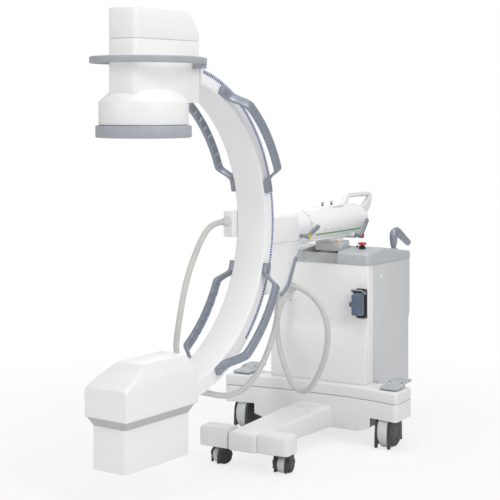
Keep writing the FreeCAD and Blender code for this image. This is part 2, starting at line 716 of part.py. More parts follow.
def make_saddle():
    """Cradle under the sleeve with the turntable disc and its spigot."""
    head_top = HEAD_BLOCK_Z[1]
    cradle = block(-SADDLE_HALF_LENGTH, SADDLE_HALF_LENGTH, -SADDLE_HALF_WIDTH, SADDLE_HALF_WIDTH,
                   head_top + 9, ARM_Z - 20)
    cradle = cradle.cut(cylinder(ARM_R, axis_point(-200), FORWARD, 400))
    disc = cylinder(TURNTABLE_R, V(0, 0, head_top + RUNNING_GAP), UP, 9 - RUNNING_GAP)
    spigot = cylinder(TURNTABLE_SPIGOT_R, V(0, 0, head_top - TURNTABLE_SPIGOT_LENGTH + 1), UP,
                      TURNTABLE_SPIGOT_LENGTH)
    return fuse_all([cradle, disc, spigot])


def make_sleeve_scale():
    strip = ring(ARM_R + SLEEVE_SCALE_THICK, ARM_R, axis_point(SLEEVE_FRONT_X - 30 - SLEEVE_SCALE_LENGTH),
                 FORWARD, SLEEVE_SCALE_LENGTH)
    z = ARM_Z - SLEEVE_SCALE_DROP
    return strip.common(block(-400, 400, 0, 100, z - SLEEVE_SCALE_HEIGHT / 2, z + SLEEVE_SCALE_HEIGHT / 2))


def make_loop_handle():
    """Flat moulded bow over the sleeve's tail."""
    foot = ARM_Z + ARM_R - LOOP_FOOT_SUNK
    tail = SLEEVE_REAR_X - SLEEVE_TAIL[0][0]
    t = LOOP_SECTION
    outer = [(LOOP_FRONT_X + 10, foot), (LOOP_FRONT_X - 26, LOOP_TOP_Z + t / 2),
             (LOOP_BACK_X - t / 2, LOOP_TOP_Z + t / 2 - 6), (tail - 22, ARM_Z - 6), (tail + 20, ARM_Z - 6), (tail + 60, foot)]
    inner = [(LOOP_FRONT_X - 12, foot), (LOOP_FRONT_X - 34, LOOP_TOP_Z - t / 2),
             (LOOP_BACK_X + t / 2 + 4, LOOP_TOP_Z - t / 2 - 6), (tail - 4, ARM_Z + 46), (tail + 60, ARM_Z + 46)]
    bow = plate_xz(outer, -t / 2, t / 2, (0.0, 16.0, 18.0, 6.0, 0.0, 0.0))
    bow = bow.cut(plate_xz(inner, -t, t, (0.0, 9.0, 9.0, 6.0, 0.0)))
    bow = bow.cut(make_sleeve())
    return max(bow.Solids, key=lambda solid: solid.Volume)


def make_knob(x):
    pad_z = ARM_Z + ARM_R + SLEEVE_PAD_HEIGHT
    stem = cylinder(KNOB_STEM_R, V(x, 0, pad_z - KNOB_STEM_SUNK), UP, KNOB_STEM_SUNK + KNOB_STEM_HEIGHT)
    wing = plate_xz([(x - KNOB_R + 4, pad_z + KNOB_STEM_HEIGHT - 2), (x + KNOB_R - 4, pad_z + KNOB_STEM_HEIGHT - 2),
                     (x + KNOB_R, pad_z + KNOB_STEM_HEIGHT + KNOB_HEIGHT), (x, pad_z + KNOB_STEM_HEIGHT + KNOB_HEIGHT - 3),
                     (x - KNOB_R, pad_z + KNOB_STEM_HEIGHT + KNOB_HEIGHT)], -4.0, 4.0)
    return fuse_all([stem, wing])


def make_lever(x, z, length, lean, shaft_from):
    """Hub on a cross shaft with a flat blade that leans back by an angle from the arm."""
    inner = LEVER_OUTSIDE_Y
    hub = cylinder(LEVER_HUB_R, V(x, inner, z), SIDEWAYS, LEVER_HUB_LENGTH)
    shaft = cylinder(LEVER_SHAFT_R, V(x, shaft_from, z), SIDEWAYS, inner - shaft_from + 1)
    half = LEVER_BLADE_WIDTH / 2
    y0 = inner + 4
    blade = plate_xz([(x, z - half), (x, z + half), (x - length * 0.45, z + half * 0.7), (x - length, z + half * 0.8),
                      (x - length, z - half * 0.8), (x - length * 0.45, z - half * 0.7)],
                     y0, y0 + LEVER_BLADE_THICK)
    blade.rotate(V(x, 0, z), SIDEWAYS, lean)
    return fuse_all([hub, shaft, blade])


def make_arm_tube():
    outer = ARM_R - ARM_WALL - FIT
    rear = SLEEVE_FRONT_X - ARM_TUBE_LENGTH
    tube = ring(outer, outer - ARM_WALL, axis_point(rear), FORWARD, ARM_TUBE_LENGTH + 60)
    return tube


def make_roll_head():
    """Neck and head casting: it turns on the arm tube's nose and carries the carriage."""
    neck_x = SLEEVE_FRONT_X + NECK_REAR_GAP
    neck = cylinder(ARM_R, axis_point(neck_x), FORWARD, HEAD_REAR_X - neck_x + 30)
    w = HEAD_HALF_WIDTH
    front = C_CENTRE_X - BAND_OUTER_R + 30
    outline = [(HEAD_REAR_X - 46, HEAD_SEAM_Z), (front, HEAD_SEAM_Z), (front, HEAD_TOP_Z), (HEAD_REAR_X + 6, HEAD_TOP_Z)]
    head = plate_xz(outline, -w, w, (0.0, 0.0, 0.0, 38.0))
    plan = [(HEAD_REAR_X - 60, -w), (front, -w), (front, w), (HEAD_REAR_X - 60, w)]
    head = head.common(plate_xy(plan, HEAD_SEAM_Z, HEAD_TOP_Z, (50.0, 0.0, 0.0, 50.0)))
    body = fuse_all([neck, head])
    body = body.cut(cylinder(ARM_R - ARM_WALL, axis_point(neck_x - 1), FORWARD, 60 + RUNNING_GAP))
    body = body.cut(on_c(band_space(-80, 160, 215)))
    rim = ring(ARM_R + 1, ARM_R - RIM_GROOVE, axis_point(neck_x + RIM_WIDTH), FORWARD, 2)
    body = body.cut(rim)
    body = body.cut(cylinder(LEVER_SHAFT_R + FIT, V(FRONT_LEVER_X, 20, FRONT_LEVER_Z), SIDEWAYS, 80))
    return body.cut(on_c(roller_pocket(ROLLER_ANGLES[0])))


def band_space(depth, start_angle, end_angle):
    """The room the band runs in, from its outer face inwards."""
    outer = BAND_OUTER_R + RUNNING_GAP
    half = BAND_WIDTH / 2 + 26
    return swept([(BAND_OUTER_R + depth, -half), (outer, -half), (outer, half), (BAND_OUTER_R + depth, half)],
                 start_angle, end_angle)


def roller_pocket(angle):
    centre_r = BAND_OUTER_R + RUNNING_GAP + ROLLER_R
    centre = polar(centre_r, angle)
    half = ROLLER_LENGTH / 2 + ROLLER_POCKET
    pocket = cylinder(ROLLER_R + ROLLER_POCKET, centre - SIDEWAYS * half, SIDEWAYS, 2 * half)
    bore_half = ROLLER_AXLE_LENGTH / 2 + RUNNING_GAP
    bore = cylinder(ROLLER_AXLE_R + FIT, centre - SIDEWAYS * bore_half, SIDEWAYS, 2 * bore_half)
    return fuse_all([pocket, bore])


def make_roller(angle):
    centre = polar(BAND_OUTER_R + RUNNING_GAP + ROLLER_R, angle)
    half, axle_half = ROLLER_LENGTH / 2, ROLLER_AXLE_LENGTH / 2
    drum = cylinder(ROLLER_R, centre - SIDEWAYS * half, SIDEWAYS, ROLLER_LENGTH)
    axle = cylinder(ROLLER_AXLE_R, centre - SIDEWAYS * axle_half, SIDEWAYS, ROLLER_AXLE_LENGTH)
    return on_c(fuse_all([drum, axle]))


def make_carriage():
    """Lower carriage casting: it follows the band and narrows towards its foot."""
    w = CARRIAGE_HALF_WIDTH
    front = C_CENTRE_X - BAND_OUTER_R + 90
    outline = [(CARRIAGE_BACK_LOW_X, CARRIAGE_BOTTOM_Z), (front, CARRIAGE_BOTTOM_Z), (front, HEAD_SEAM_Z),
               (CARRIAGE_BACK_X + 2, HEAD_SEAM_Z)]
    body = plate_xz(outline, -w, w, (10.0, 0.0, 0.0, 16.0))
    body = body.common(plate_yz([(-w, CARRIAGE_BOTTOM_Z), (w, CARRIAGE_BOTTOM_Z), (w, HEAD_SEAM_Z), (-w, HEAD_SEAM_Z)],
                                CARRIAGE_BACK_X - 10, front + 10, (14.0, 14.0, 0.0, 0.0)))
    body = body.cut(on_c(band_space(-120, 160, 225)))
    body = body.cut(cylinder(ARM_R, axis_point(SLEEVE_FRONT_X), FORWARD, front - SLEEVE_FRONT_X))
    body = body.cut(on_c(roller_pocket(ROLLER_ANGLES[1])))
    run = V(*LOOP_FITTING_RUN)
    rear = cylinder(FITTING_R, V(*LOOP_FITTING_AT) - run, run, run.Length)
    low = cylinder(FITTING_R, V(*LOW_FITTING_AT), UP, CARRIAGE_BOTTOM_Z - LOW_FITTING_AT[2] + 1)
    pivot_x, pivot_z = BRAKE_BAR_PIVOT
    bore = cylinder(BRAKE_PIN_R + FIT, V(pivot_x, w - 14, pivot_z), SIDEWAYS, 40)
    return fuse_all([body, rear, low]).cut(bore)


def make_brake_bar():
    """Cranked release bar beside the carriage, on a pivot pin."""
    w = CARRIAGE_HALF_WIDTH
    y0 = w + RUNNING_GAP + 1
    (px, pz), (kx, kz), (tx, tz) = BRAKE_BAR_PIVOT, BRAKE_BAR_KNEE, BRAKE_BAR_TIP
    half = BRAKE_BAR_WIDTH / 2
    upper = plate_xz([(px - half, pz), (px + half, pz), (kx + half, kz + 3), (kx - half, kz - 3)],
                     y0, y0 + BRAKE_BAR_THICK)
    lower = plate_xz([(kx - half, kz + 2), (kx + half, kz + 6), (tx + 6, tz + 4), (tx - 4, tz - 6)],
                     y0, y0 + BRAKE_BAR_THICK)
    eye = cylinder(half + 2, V(px, y0, pz), SIDEWAYS, BRAKE_BAR_THICK)
    pin = cylinder(BRAKE_PIN_R, V(px, w - 13, pz), SIDEWAYS, y0 - w + 14)
    return fuse_all([upper, lower, eye, pin])


# Column and cabinet
def make_column_inner():
    half = COLUMN_INNER_HALF
    top = HEAD_BLOCK_Z[0]
    outline = [(-half, -half), (half, -half), (half, half), (-half, half)]
    tube = plate_xy(outline, top - COLUMN_INNER_LENGTH, top, 8.0)
    inner = half - COLUMN_WALL
    hollow = plate_xy([(-inner, -inner), (inner, -inner), (inner, inner), (-inner, inner)],
                      top - COLUMN_INNER_LENGTH - 1, top - 12, 4.0)
    return tube.cut(hollow)


def make_column_head():
    w = HEAD_BLOCK_HALF_WIDTH
    outline = [(HEAD_BLOCK_X[0], -w), (HEAD_BLOCK_X[1], -w), (HEAD_BLOCK_X[1], w), (HEAD_BLOCK_X[0], w)]
    head = plate_xy(outline, HEAD_BLOCK_Z[0], HEAD_BLOCK_Z[1], 6.0)
    head = chamfer_edges(head, 3.0, at_height(HEAD_BLOCK_Z[1]))
    depth = TURNTABLE_SPIGOT_LENGTH
    return head.cut(cylinder(TURNTABLE_SPIGOT_R + FIT, V(0, 0, HEAD_BLOCK_Z[1] - depth), UP, depth + 1))


def make_column_outer():
    inner = COLUMN_INNER_HALF + FIT
    outer = inner + COLUMN_WALL
    outline = [(-outer, -outer), (outer, -outer), (outer, outer), (-outer, outer)]
    tube = plate_xy(outline, COLUMN_BOTTOM_Z, COLUMN_OUTER_TOP_Z, 10.0)
    bore = [(-inner, -inner), (inner, -inner), (inner, inner), (-inner, inner)]
    return tube.cut(plate_xy(bore, COLUMN_BOTTOM_Z + 12, COLUMN_OUTER_TOP_Z + 1, 8.0 + FIT))


def lid_underside(x):
    """Height of the lid's underside, which slopes down to the rear."""
    share = (CABINET_FRONT_X - x) / (CABINET_FRONT_X - CABINET_REAR_X)
    return CABINET_TOP_FRONT_Z + share * (CABINET_TOP_REAR_Z - CABINET_TOP_FRONT_Z)


def make_front_cover():
    """Moulded front: a face, two wrapped corners and a ledge that swells out below."""
    x1 = CABINET_FRONT_X
    x0 = x1 - FRONT_COVER_DEPTH
    w = CABINET_HALF_WIDTH - 4
    bottom = BASE_TOP_Z

    def skin(inset):
        profile = [(x0, bottom - (1 if inset else 0)), (x1 + LEDGE_OUT - inset, bottom - (1 if inset else 0)),
                   (x1 + LEDGE_OUT - inset, LEDGE_Z[0]), (x1 - inset, LEDGE_Z[1]),
                   (x1 - inset, lid_underside(x1) + (1 if inset else 0)), (x0, lid_underside(x0) + (1 if inset else 0))]
        sheet = plate_xz(profile, -w + inset, w - inset, (0.0, 0.0, 40.0, 40.0, 0.0, 0.0))
        wide = x1 + LEDGE_OUT + 1 - inset
        corner = FRONT_CORNER_ROUND + LEDGE_OUT - inset
        face = plate_xy([(x0 - 1, -w + inset), (wide, -w + inset), (wide, w - inset), (x0 - 1, w - inset)],
                        bottom - 2, CABINET_TOP_FRONT_Z + 2, (0.0, corner, corner, 0.0))
        return sheet.common(face)

    cover = skin(0.0).cut(skin(COVER_WALL))
    hole = cylinder(SUPPLY_PLUG_R + FIT, V(x1 - 20, GLAND_DISC_Y, GLAND_DISC_Z), FORWARD, 40)
    return cover.cut(hole)


def make_side_panel():
    x1 = CABINET_FRONT_X - FRONT_COVER_DEPTH - PANEL_GAP
    y1 = CABINET_HALF_WIDTH
    clear = BEAM_END_REAR_X - 4
    profile = [(CABINET_REAR_LOW_X, SIDE_PANEL_LOW_Z), (clear - 40, SIDE_PANEL_LOW_Z), (clear - 40, BASE_TOP_Z),
               (x1, BASE_TOP_Z), (x1, lid_underside(x1)), (CABINET_REAR_X, lid_underside(CABINET_REAR_X)),
               (CABINET_REAR_X, CABINET_REAR_STEP_Z), (CABINET_REAR_LOW_X, CABINET_REAR_STEP_Z - 20)]
    return plate_xz(profile, y1 - COVER_WALL, y1, (6.0, 6.0, 0.0, 0.0, 0.0, 0.0, 3.0, 3.0))


def make_rear_cover():
    w = CABINET_HALF_WIDTH - COVER_WALL - PANEL_GAP
    top = lid_underside(CABINET_REAR_X)
    profile = [(CABINET_REAR_LOW_X, SIDE_PANEL_LOW_Z), (CABINET_REAR_LOW_X + COVER_WALL, SIDE_PANEL_LOW_Z),
               (CABINET_REAR_LOW_X + COVER_WALL, CABINET_REAR_STEP_Z - 18),
               (CABINET_REAR_X + COVER_WALL, CABINET_REAR_STEP_Z + 2), (CABINET_REAR_X + COVER_WALL, top),
               (CABINET_REAR_X, top), (CABINET_REAR_X, CABINET_REAR_STEP_Z), (CABINET_REAR_LOW_X, CABINET_REAR_STEP_Z - 20)]
    return plate_xz(profile, -w, w)


def make_lid():
    """Sloping lid with a notch at the front for the column and a bore for the steering post."""
    x1, x0 = CABINET_FRONT_X + LID_OVERHANG, CABINET_REAR_X - LID_REAR_OVERHANG
    w = CABINET_HALF_WIDTH + LID_OVERHANG
    profile = [(x0, lid_underside(x0)), (x1, lid_underside(x1)), (x1, LID_FRONT_TOP_Z),
               (LID_PEAK_X, LID_PEAK_Z), (x0, LID_REAR_TOP_Z)]
    lid = plate_xz(profile, -w, w, (0.0, 0.0, 12.0, 0.0, 14.0))
    top, low = LID_PEAK_Z + 2, CABINET_TOP_REAR_Z - LID_CUT_DEPTH
    wall_top, inset = LID_REAR_TOP_Z - LID_WALL_DROP, w - LID_TOP_INSET
    section = [(-w, low), (w, low), (w, wall_top), (inset, top), (-inset, top), (-w, wall_top)]
    lid = lid.common(plate_yz(section, x0 - 1, x1 + 1, (0.0, 0.0, 8.0, 12.0, 12.0, 8.0)))
    plan = [(x0, -w), (x1, -w), (x1, w), (x0, w)]
    lid = lid.common(plate_xy(plan, low, top, LID_ROUND))
    notch = block(NOTCH_REAR_X, x1 + 1, -NOTCH_HALF_WIDTH, NOTCH_HALF_WIDTH, low, top + 1)
    collar = cylinder(STEER_COLLAR_R + FIT, V(STEER_X, STEER_Y, steer_floor() - STEER_COLLAR_SUNK - RUNNING_GAP), UP, 80)
    seat_z = lid_top(ESTOP_X) - STOP_SEAT_SUNK
    seat = cylinder(ESTOP_BASE_R + FIT, V(ESTOP_X, ESTOP_Y, seat_z), UP, 20)
    return lid.cut(notch).cut(collar).cut(seat)


def steer_floor():
    """Height of the lid's top under the steering post."""
    rear = CABINET_REAR_X - LID_REAR_OVERHANG
    share = (LID_PEAK_X - STEER_X) / (LID_PEAK_X - rear)
    return LID_PEAK_Z + share * (LID_REAR_TOP_Z - LID_PEAK_Z)


def lid_top(x):
    """Height of the lid's top face between its front edge and its peak."""
    share = (CABINET_FRONT_X - x) / (CABINET_FRONT_X - LID_PEAK_X)
    return LID_FRONT_TOP_Z + share * (LID_PEAK_Z - LID_FRONT_TOP_Z)


def make_column_plate():
    x0 = CABINET_FRONT_X + LID_OVERHANG - PLATE_THICK
    w = NOTCH_HALF_WIDTH - PANEL_GAP
    return block(x0, x0 + PLATE_THICK, -w, w, CABINET_TOP_FRONT_Z, PLATE_TOP_Z)


def make_cover_screws():
    x0 = CABINET_FRONT_X + LID_OVERHANG
    screws = []
    for y in (-PLATE_SCREW_Y, PLATE_SCREW_Y):
        head = cylinder(SCREW_HEAD_R, V(x0, y, PLATE_SCREW_Z), FORWARD, SCREW_HEAD_HEIGHT)
        screws.append(head)
    return Part.makeCompound(screws)


def make_connector_base():
    half_w, half_h = CONNECTOR_BASE_WIDTH / 2, CONNECTOR_HEIGHT / 2
    y, z, x = CONNECTOR_Y, CONNECTOR_Z, CABINET_FRONT_X
    flange = plate_yz([(y - half_w, z - half_h), (y + half_w, z - half_h), (y + half_w, z + half_h), (y - half_w, z + half_h)],
                      x, x + 8, 6.0)
    half_h2 = half_h - 10
    half_w2 = half_w - 4
    body = plate_yz([(y - half_w2, z - half_h2), (y + half_w2, z - half_h2), (y + half_w2, z + half_h2),
                     (y - half_w2, z + half_h2)], x + 7, x + CONNECTOR_BASE_DEPTH, 5.0)
    shape = fuse_all([flange, body])
    for side in (-1, 1):
        centre = V(x + CONNECTOR_BASE_DEPTH - 9, y, z + side * (half_h2 - 8))
        shape = shape.cut(cylinder(LATCH_PIVOT_R + FIT, centre - SIDEWAYS * 40, SIDEWAYS, 80))
    return shape


def make_connector_hood():
    half_w, half_h = CONNECTOR_HOOD_WIDTH / 2, CONNECTOR_HOOD_HEIGHT / 2
    y, z, x = CONNECTOR_Y, CONNECTOR_Z, CABINET_FRONT_X + CONNECTOR_BASE_DEPTH
    hood = plate_yz([(y - half_w, z - half_h), (y + half_w, z - half_h), (y + half_w, z + half_h), (y - half_w, z + half_h)],
                    x, x + CONNECTOR_HOOD_DEPTH, 6.0)
    knob = cylinder(11.0, V(x + CONNECTOR_HOOD_DEPTH / 2, y - half_w - 14, z), SIDEWAYS, 15)
    return fuse_all([hood, knob])


def make_latch():
    """Wire locking bow of the connector: two pivots, two arms and a bar over the hood."""
    half_w = CONNECTOR_BASE_WIDTH / 2 - 4
    side = 1
    y, z = CONNECTOR_Y, CONNECTOR_Z
    pivot = V(CABINET_FRONT_X + CONNECTOR_BASE_DEPTH - 9, y, z + side * (CONNECTOR_HEIGHT / 2 - 18))
    parts = []
    for edge in (-1, 1):
        outer = half_w + 2
        start = pivot + V(0, edge * (half_w - 6), 0)
        parts.append(cylinder(LATCH_PIVOT_R, start, SIDEWAYS * edge, 14))
        arm = plate_xz([(pivot.x - 5, pivot.z - 5), (pivot.x + 5, pivot.z - 5), (pivot.x + LATCH_REACH + 4, pivot.z + 13),
                        (pivot.x + LATCH_REACH + 4, pivot.z + 21), (pivot.x - 5, pivot.z + 5)],
                       y + edge * outer, y + edge * (outer + 4))
        parts.append(arm)
    bar = block(pivot.x + LATCH_REACH - 4, pivot.x + LATCH_REACH + 4, y - half_w - 5, y + half_w + 5,
                pivot.z + 14, pivot.z + 20)
    return fuse_all(parts + [bar])


def make_supply_gland():
    """Round cover plate with a hose nose that points down and forward."""
    x = CABINET_FRONT_X
    disc = cylinder(GLAND_DISC_R, V(x, GLAND_DISC_Y, GLAND_DISC_Z), FORWARD, GLAND_DISC_THICK)
    run = V(*SUPPLY_NOSE_AT) - V(*SUPPLY_NOSE_ROOT)
    nose = cylinder(SUPPLY_GLAND_R, V(*SUPPLY_NOSE_ROOT), run, run.Length)
    reach = 2 * GLAND_DISC_R
    nose = nose.cut(block(x - reach, x, GLAND_DISC_Y - reach, GLAND_DISC_Y + reach, GLAND_DISC_Z - reach, GLAND_DISC_Z + reach))
    plug = cylinder(SUPPLY_PLUG_R, V(x - 8, GLAND_DISC_Y, GLAND_DISC_Z), FORWARD, 10)
    return fuse_all([disc, nose, plug])


def make_estop_base():
    foot = lid_top(ESTOP_X) - STOP_SEAT_SUNK
    body = cylinder(ESTOP_BASE_R, V(ESTOP_X, ESTOP_Y, foot), UP, ESTOP_BASE_HEIGHT + STOP_SEAT_SUNK)
    return body.cut(cylinder(ESTOP_STEM_R + FIT, V(ESTOP_X, ESTOP_Y, foot + 1), UP, ESTOP_BASE_HEIGHT + STOP_SEAT_SUNK))


def make_estop_button():
    z = lid_top(ESTOP_X) + ESTOP_BASE_HEIGHT + ESTOP_TRAVEL + RUNNING_GAP
    cap = cylinder(ESTOP_BUTTON_R, V(ESTOP_X, ESTOP_Y, z), UP, ESTOP_BUTTON_HEIGHT)
    stem = cylinder(ESTOP_STEM_R, V(ESTOP_X, ESTOP_Y, z - ESTOP_TRAVEL - 6), UP, ESTOP_TRAVEL + 7)
    return fuse_all([cap, stem])


def make_steering_handle():
    """Moulded hook: a post that rises from its collar, arches over and ends in a hand grip."""
    z = steer_floor()
    x, y, t = STEER_X, STEER_Y, STEER_THICK
    top = z + STEER_RISE
    back = x - STEER_REACH
    hook = [(x - t / 2, z + 12), (x + t / 2, z + 12), (x + t / 2, top - 12), (x - 34, top + t), (x - 62, top + t),
            (back - 6, top - STEER_DROP + t), (back + 4, top - STEER_DROP - 6), (x - 52, top - 4), (x - t / 2, top - 18)]
    grip = plate_xz(hook, y - t / 2, y + t / 2, (4.0, 4.0, 24.0, 18.0, 18.0, 12.0, 12.0, 14.0, 14.0))
    collar = cylinder(STEER_COLLAR_R, V(x, y, z - STEER_COLLAR_SUNK), UP, STEER_COLLAR_SUNK + 14)
    return fuse_all([grip, collar])


# Base
def beam_outline(inset=0.0):
    f, s, e = BEAM_FRONT_X - inset, BEAM_SWEEP_X - inset, BEAM_HALF_WIDTH - inset
    w = BASE_BODY_HALF_WIDTH - COVER_WALL - PANEL_GAP - inset
    r, er = BEAM_REAR_X + COVER_WALL + PANEL_GAP + 2 + inset, BEAM_END_REAR_X + inset
    return [(r, -w), (er, -w), (er, -e), (s, -e), (f, -BEAM_SWEEP_Y), (f, BEAM_SWEEP_Y), (s, e), (er, e), (er, w), (r, w)]


def make_base_skirt():
    radii = (BASE_ROUND, 6.0, 8.0, BASE_ROUND, BEAM_SWEEP_ROUND, BEAM_SWEEP_ROUND, BASE_ROUND, 8.0, 6.0, BASE_ROUND)
    skirt = plate_xy(beam_outline(), BASE_BOTTOM_Z, BASE_SEAM_Z - BASE_SEAM_GAP, radii)
    for side in (-1, 1):
        y0, y1 = sorted((side * WELL_INNER_Y, side * (BEAM_HALF_WIDTH + 1)))
        rear, ahead = BEAM_REAR_X, BEAM_SWEEP_X + 1
        skirt = skirt.cut(block(rear, ahead, y0, y1, BASE_BOTTOM_Z - 1, END_BOTTOM_Z))
        rising = [(side * LOW_EDGE_Y, BASE_BOTTOM_Z - 1), (side * WELL_INNER_Y, BASE_BOTTOM_Z - 1),
                  (side * WELL_INNER_Y, LOW_EDGE_Z)]
        skirt = skirt.cut(plate_yz(rising, rear, ahead))
        centre = V(REAR_CASTER_X, side * REAR_CASTER_Y, END_BOTTOM_Z - 1)
        skirt = skirt.cut(cylinder(rear_well_radius(), centre, UP, REAR_WELL_HEIGHT + 1))
        low = V(centre.x, centre.y, BASE_BOTTOM_Z - 1)
        skirt = skirt.cut(cylinder(rear_swing_radius(), low, UP, END_BOTTOM_Z - BASE_BOTTOM_Z + 1))
        skirt = skirt.cut(cylinder(STEM_R + FIT, centre, UP, REAR_WELL_HEIGHT + STEM_LENGTH + RUNNING_GAP + 1))
    half = COLUMN_INNER_HALF + FIT + COLUMN_WALL
    skirt = skirt.cut(plate_xy([(-half, -half), (half, -half), (half, half), (-half, half)],
                               COLUMN_BOTTOM_Z, BASE_SEAM_Z, 10.0))
    return skirt


def rear_swing_radius():
    """Room beside the beam's end for the whole rear caster to turn in."""
    half = REAR_WHEEL_WIDTH / 2
    wheel = math.hypot(REAR_WHEEL_R, half)
    prong = math.hypot(REAR_WHEEL_R * PRONG_REACH, half + WHEEL_SIDE_GAP + REAR_CHEEK)
    return max(wheel, prong) + SWING_CLEARANCE


def rear_well_radius():
    """Room inside the beam's end for the top of the wheel and its hood to turn in."""
    half = REAR_WHEEL_WIDTH / 2
    above = END_BOTTOM_Z - REAR_WHEEL_R
    wheel = math.hypot(math.sqrt(REAR_WHEEL_R ** 2 - above ** 2), half)
    hood = math.hypot(REAR_WHEEL_R * HOOD_REACH, half + WHEEL_SIDE_GAP + REAR_CHEEK)
    return max(wheel, hood) + SWING_CLEARANCE


def make_base_top():
    radii = (BASE_ROUND, 6.0, 8.0, BASE_ROUND, BEAM_SWEEP_ROUND, BEAM_SWEEP_ROUND, BASE_ROUND, 8.0, 6.0, BASE_ROUND)
    top = plate_xy(beam_outline(), BASE_SEAM_Z, BASE_TOP_Z, radii)
    groove = plate_xy(beam_outline(2.0), BASE_SEAM_Z - BASE_SEAM_GAP, BASE_SEAM_Z + 0.5, radii)
    half = COLUMN_INNER_HALF + FIT + COLUMN_WALL
    shape = fuse_all([top, groove])
    shape = shape.cut(plate_xy([(-half, -half), (half, -half), (half, half), (-half, half)],
                               BASE_SEAM_Z - 5, BASE_TOP_Z + 1, 10.0))
    for side in (-1, 1):
        stem = cylinder(STEM_R + FIT, V(REAR_CASTER_X, side * REAR_CASTER_Y, END_BOTTOM_Z), UP,
                        REAR_WELL_HEIGHT + STEM_LENGTH + RUNNING_GAP)
        shape = shape.cut(stem)
        for y in pedal_ears(side):
            ear = block(PEDAL_SHAFT_X - 9, PEDAL_SHAFT_X + 9, y - PEDAL_EAR_THICK / 2, y + PEDAL_EAR_THICK / 2,
                        BASE_TOP_Z - 1, PEDAL_SHAFT_Z + 8)
            ear = ear.cut(cylinder(PEDAL_SHAFT_R + FIT, V(PEDAL_SHAFT_X, y - 5, PEDAL_SHAFT_Z), SIDEWAYS, 10))
            shape = shape.fuse(ear)
    return shape.removeSplitter()


def pedal_ears(side):
    spread = PEDAL_WIDTH / 2 - PEDAL_EAR_INSET
    return (side * PEDAL_Y - spread, side * PEDAL_Y + spread)


def make_pedal(side):
    """Rocker pedal: a low front pad, a raised rear pad and a shaft in two ears."""
    y0, y1 = side * PEDAL_Y - PEDAL_WIDTH / 2, side * PEDAL_Y + PEDAL_WIDTH / 2
    x, t = PEDAL_SHAFT_X, PEDAL_THICK
    front, rear = PEDAL_FRONT_Z, PEDAL_REAR_Z
    front_x, rear_x = x + PEDAL_FRONT_LENGTH, x - PEDAL_REAR_LENGTH
    profile = [(front_x, front), (front_x, front + t), (x + 16, front + t), (x - 8, rear + t), (rear_x, rear + t + 2),
               (rear_x, rear + 2), (x - 8, rear), (x + 16, front)]
    pad = plate_xz(profile, y0, y1)
    plan = [(rear_x, y0), (front_x, y0), (front_x, y1), (rear_x, y1)]
    pad = pad.common(plate_xy(plan, front - 10, rear + 40, 12.0))
    slot = PEDAL_EAR_THICK / 2 + 1
    for y in pedal_ears(side):
        pad = pad.cut(block(x - 14, x + 14, y - slot, y + slot, front - 20, rear + 40))
    shaft = cylinder(PEDAL_SHAFT_R, V(x, y0 + 6, PEDAL_SHAFT_Z), SIDEWAYS, PEDAL_WIDTH - 12)
    web_half = PEDAL_WIDTH / 2 - PEDAL_EAR_INSET - slot
    web = block(x - 6, x + 6, side * PEDAL_Y - web_half, side * PEDAL_Y + web_half, PEDAL_SHAFT_Z, front + t)
    return fuse_all([pad, shaft, web])


def make_leg():
    rear = BEAM_FRONT_X
    outline = [(rear, -LEG_HALF_WIDTH_REAR), (LEG_FRONT_X, -LEG_HALF_WIDTH_FRONT), (LEG_FRONT_X, LEG_HALF_WIDTH_FRONT),
               (rear, LEG_HALF_WIDTH_REAR)]
    leg = plate_xy(outline, LEG_BOTTOM_Z, LEG_TOP_Z, (0.0, 10.0, 10.0, 0.0))
    leg = chamfer_edges(leg, 5.0, at_height(LEG_TOP_Z))
    under = plate_xz([(rear - 1, LEG_BOTTOM_Z - 1), (LEG_FRONT_X + 1, LEG_BOTTOM_Z - 1),
                      (LEG_FRONT_X + 1, LEG_BOTTOM_FRONT_Z), (CAP_REAR_X, LEG_BOTTOM_FRONT_Z)], -200, 200)
    return leg.cut(under)


def leg_half_width(x):
    share = (x - BEAM_FRONT_X) / (LEG_FRONT_X - BEAM_FRONT_X)
    return LEG_HALF_WIDTH_REAR + share * (LEG_HALF_WIDTH_FRONT - LEG_HALF_WIDTH_REAR)


def make_leg_cap(side):
    y_rear = leg_half_width(CAP_REAR_X)
    y_front = leg_half_width(CAP_FRONT_X)
    outline = [(CAP_REAR_X, y_rear), (CAP_FRONT_X, y_front), (CAP_FRONT_X, CAP_OUTSIDE_Y), (CAP_REAR_X, CAP_OUTSIDE_Y)]
    cap = plate_xy(outline, CAP_BOTTOM_Z, CAP_TOP_Z, (0.0, 0.0, CAP_ROUND, CAP_ROUND))
    cap = chamfer_edges(cap, 5.0, at_height(CAP_TOP_Z))
    stem_hole = cylinder(STEM_R + FIT, V(FRONT_CASTER_X, FRONT_CASTER_Y, CAP_BOTTOM_Z - 1), UP, 1 + STEM_LENGTH + RUNNING_GAP)
    cap = cap.cut(stem_hole)
    return cap if side > 0 else mirrored(cap)


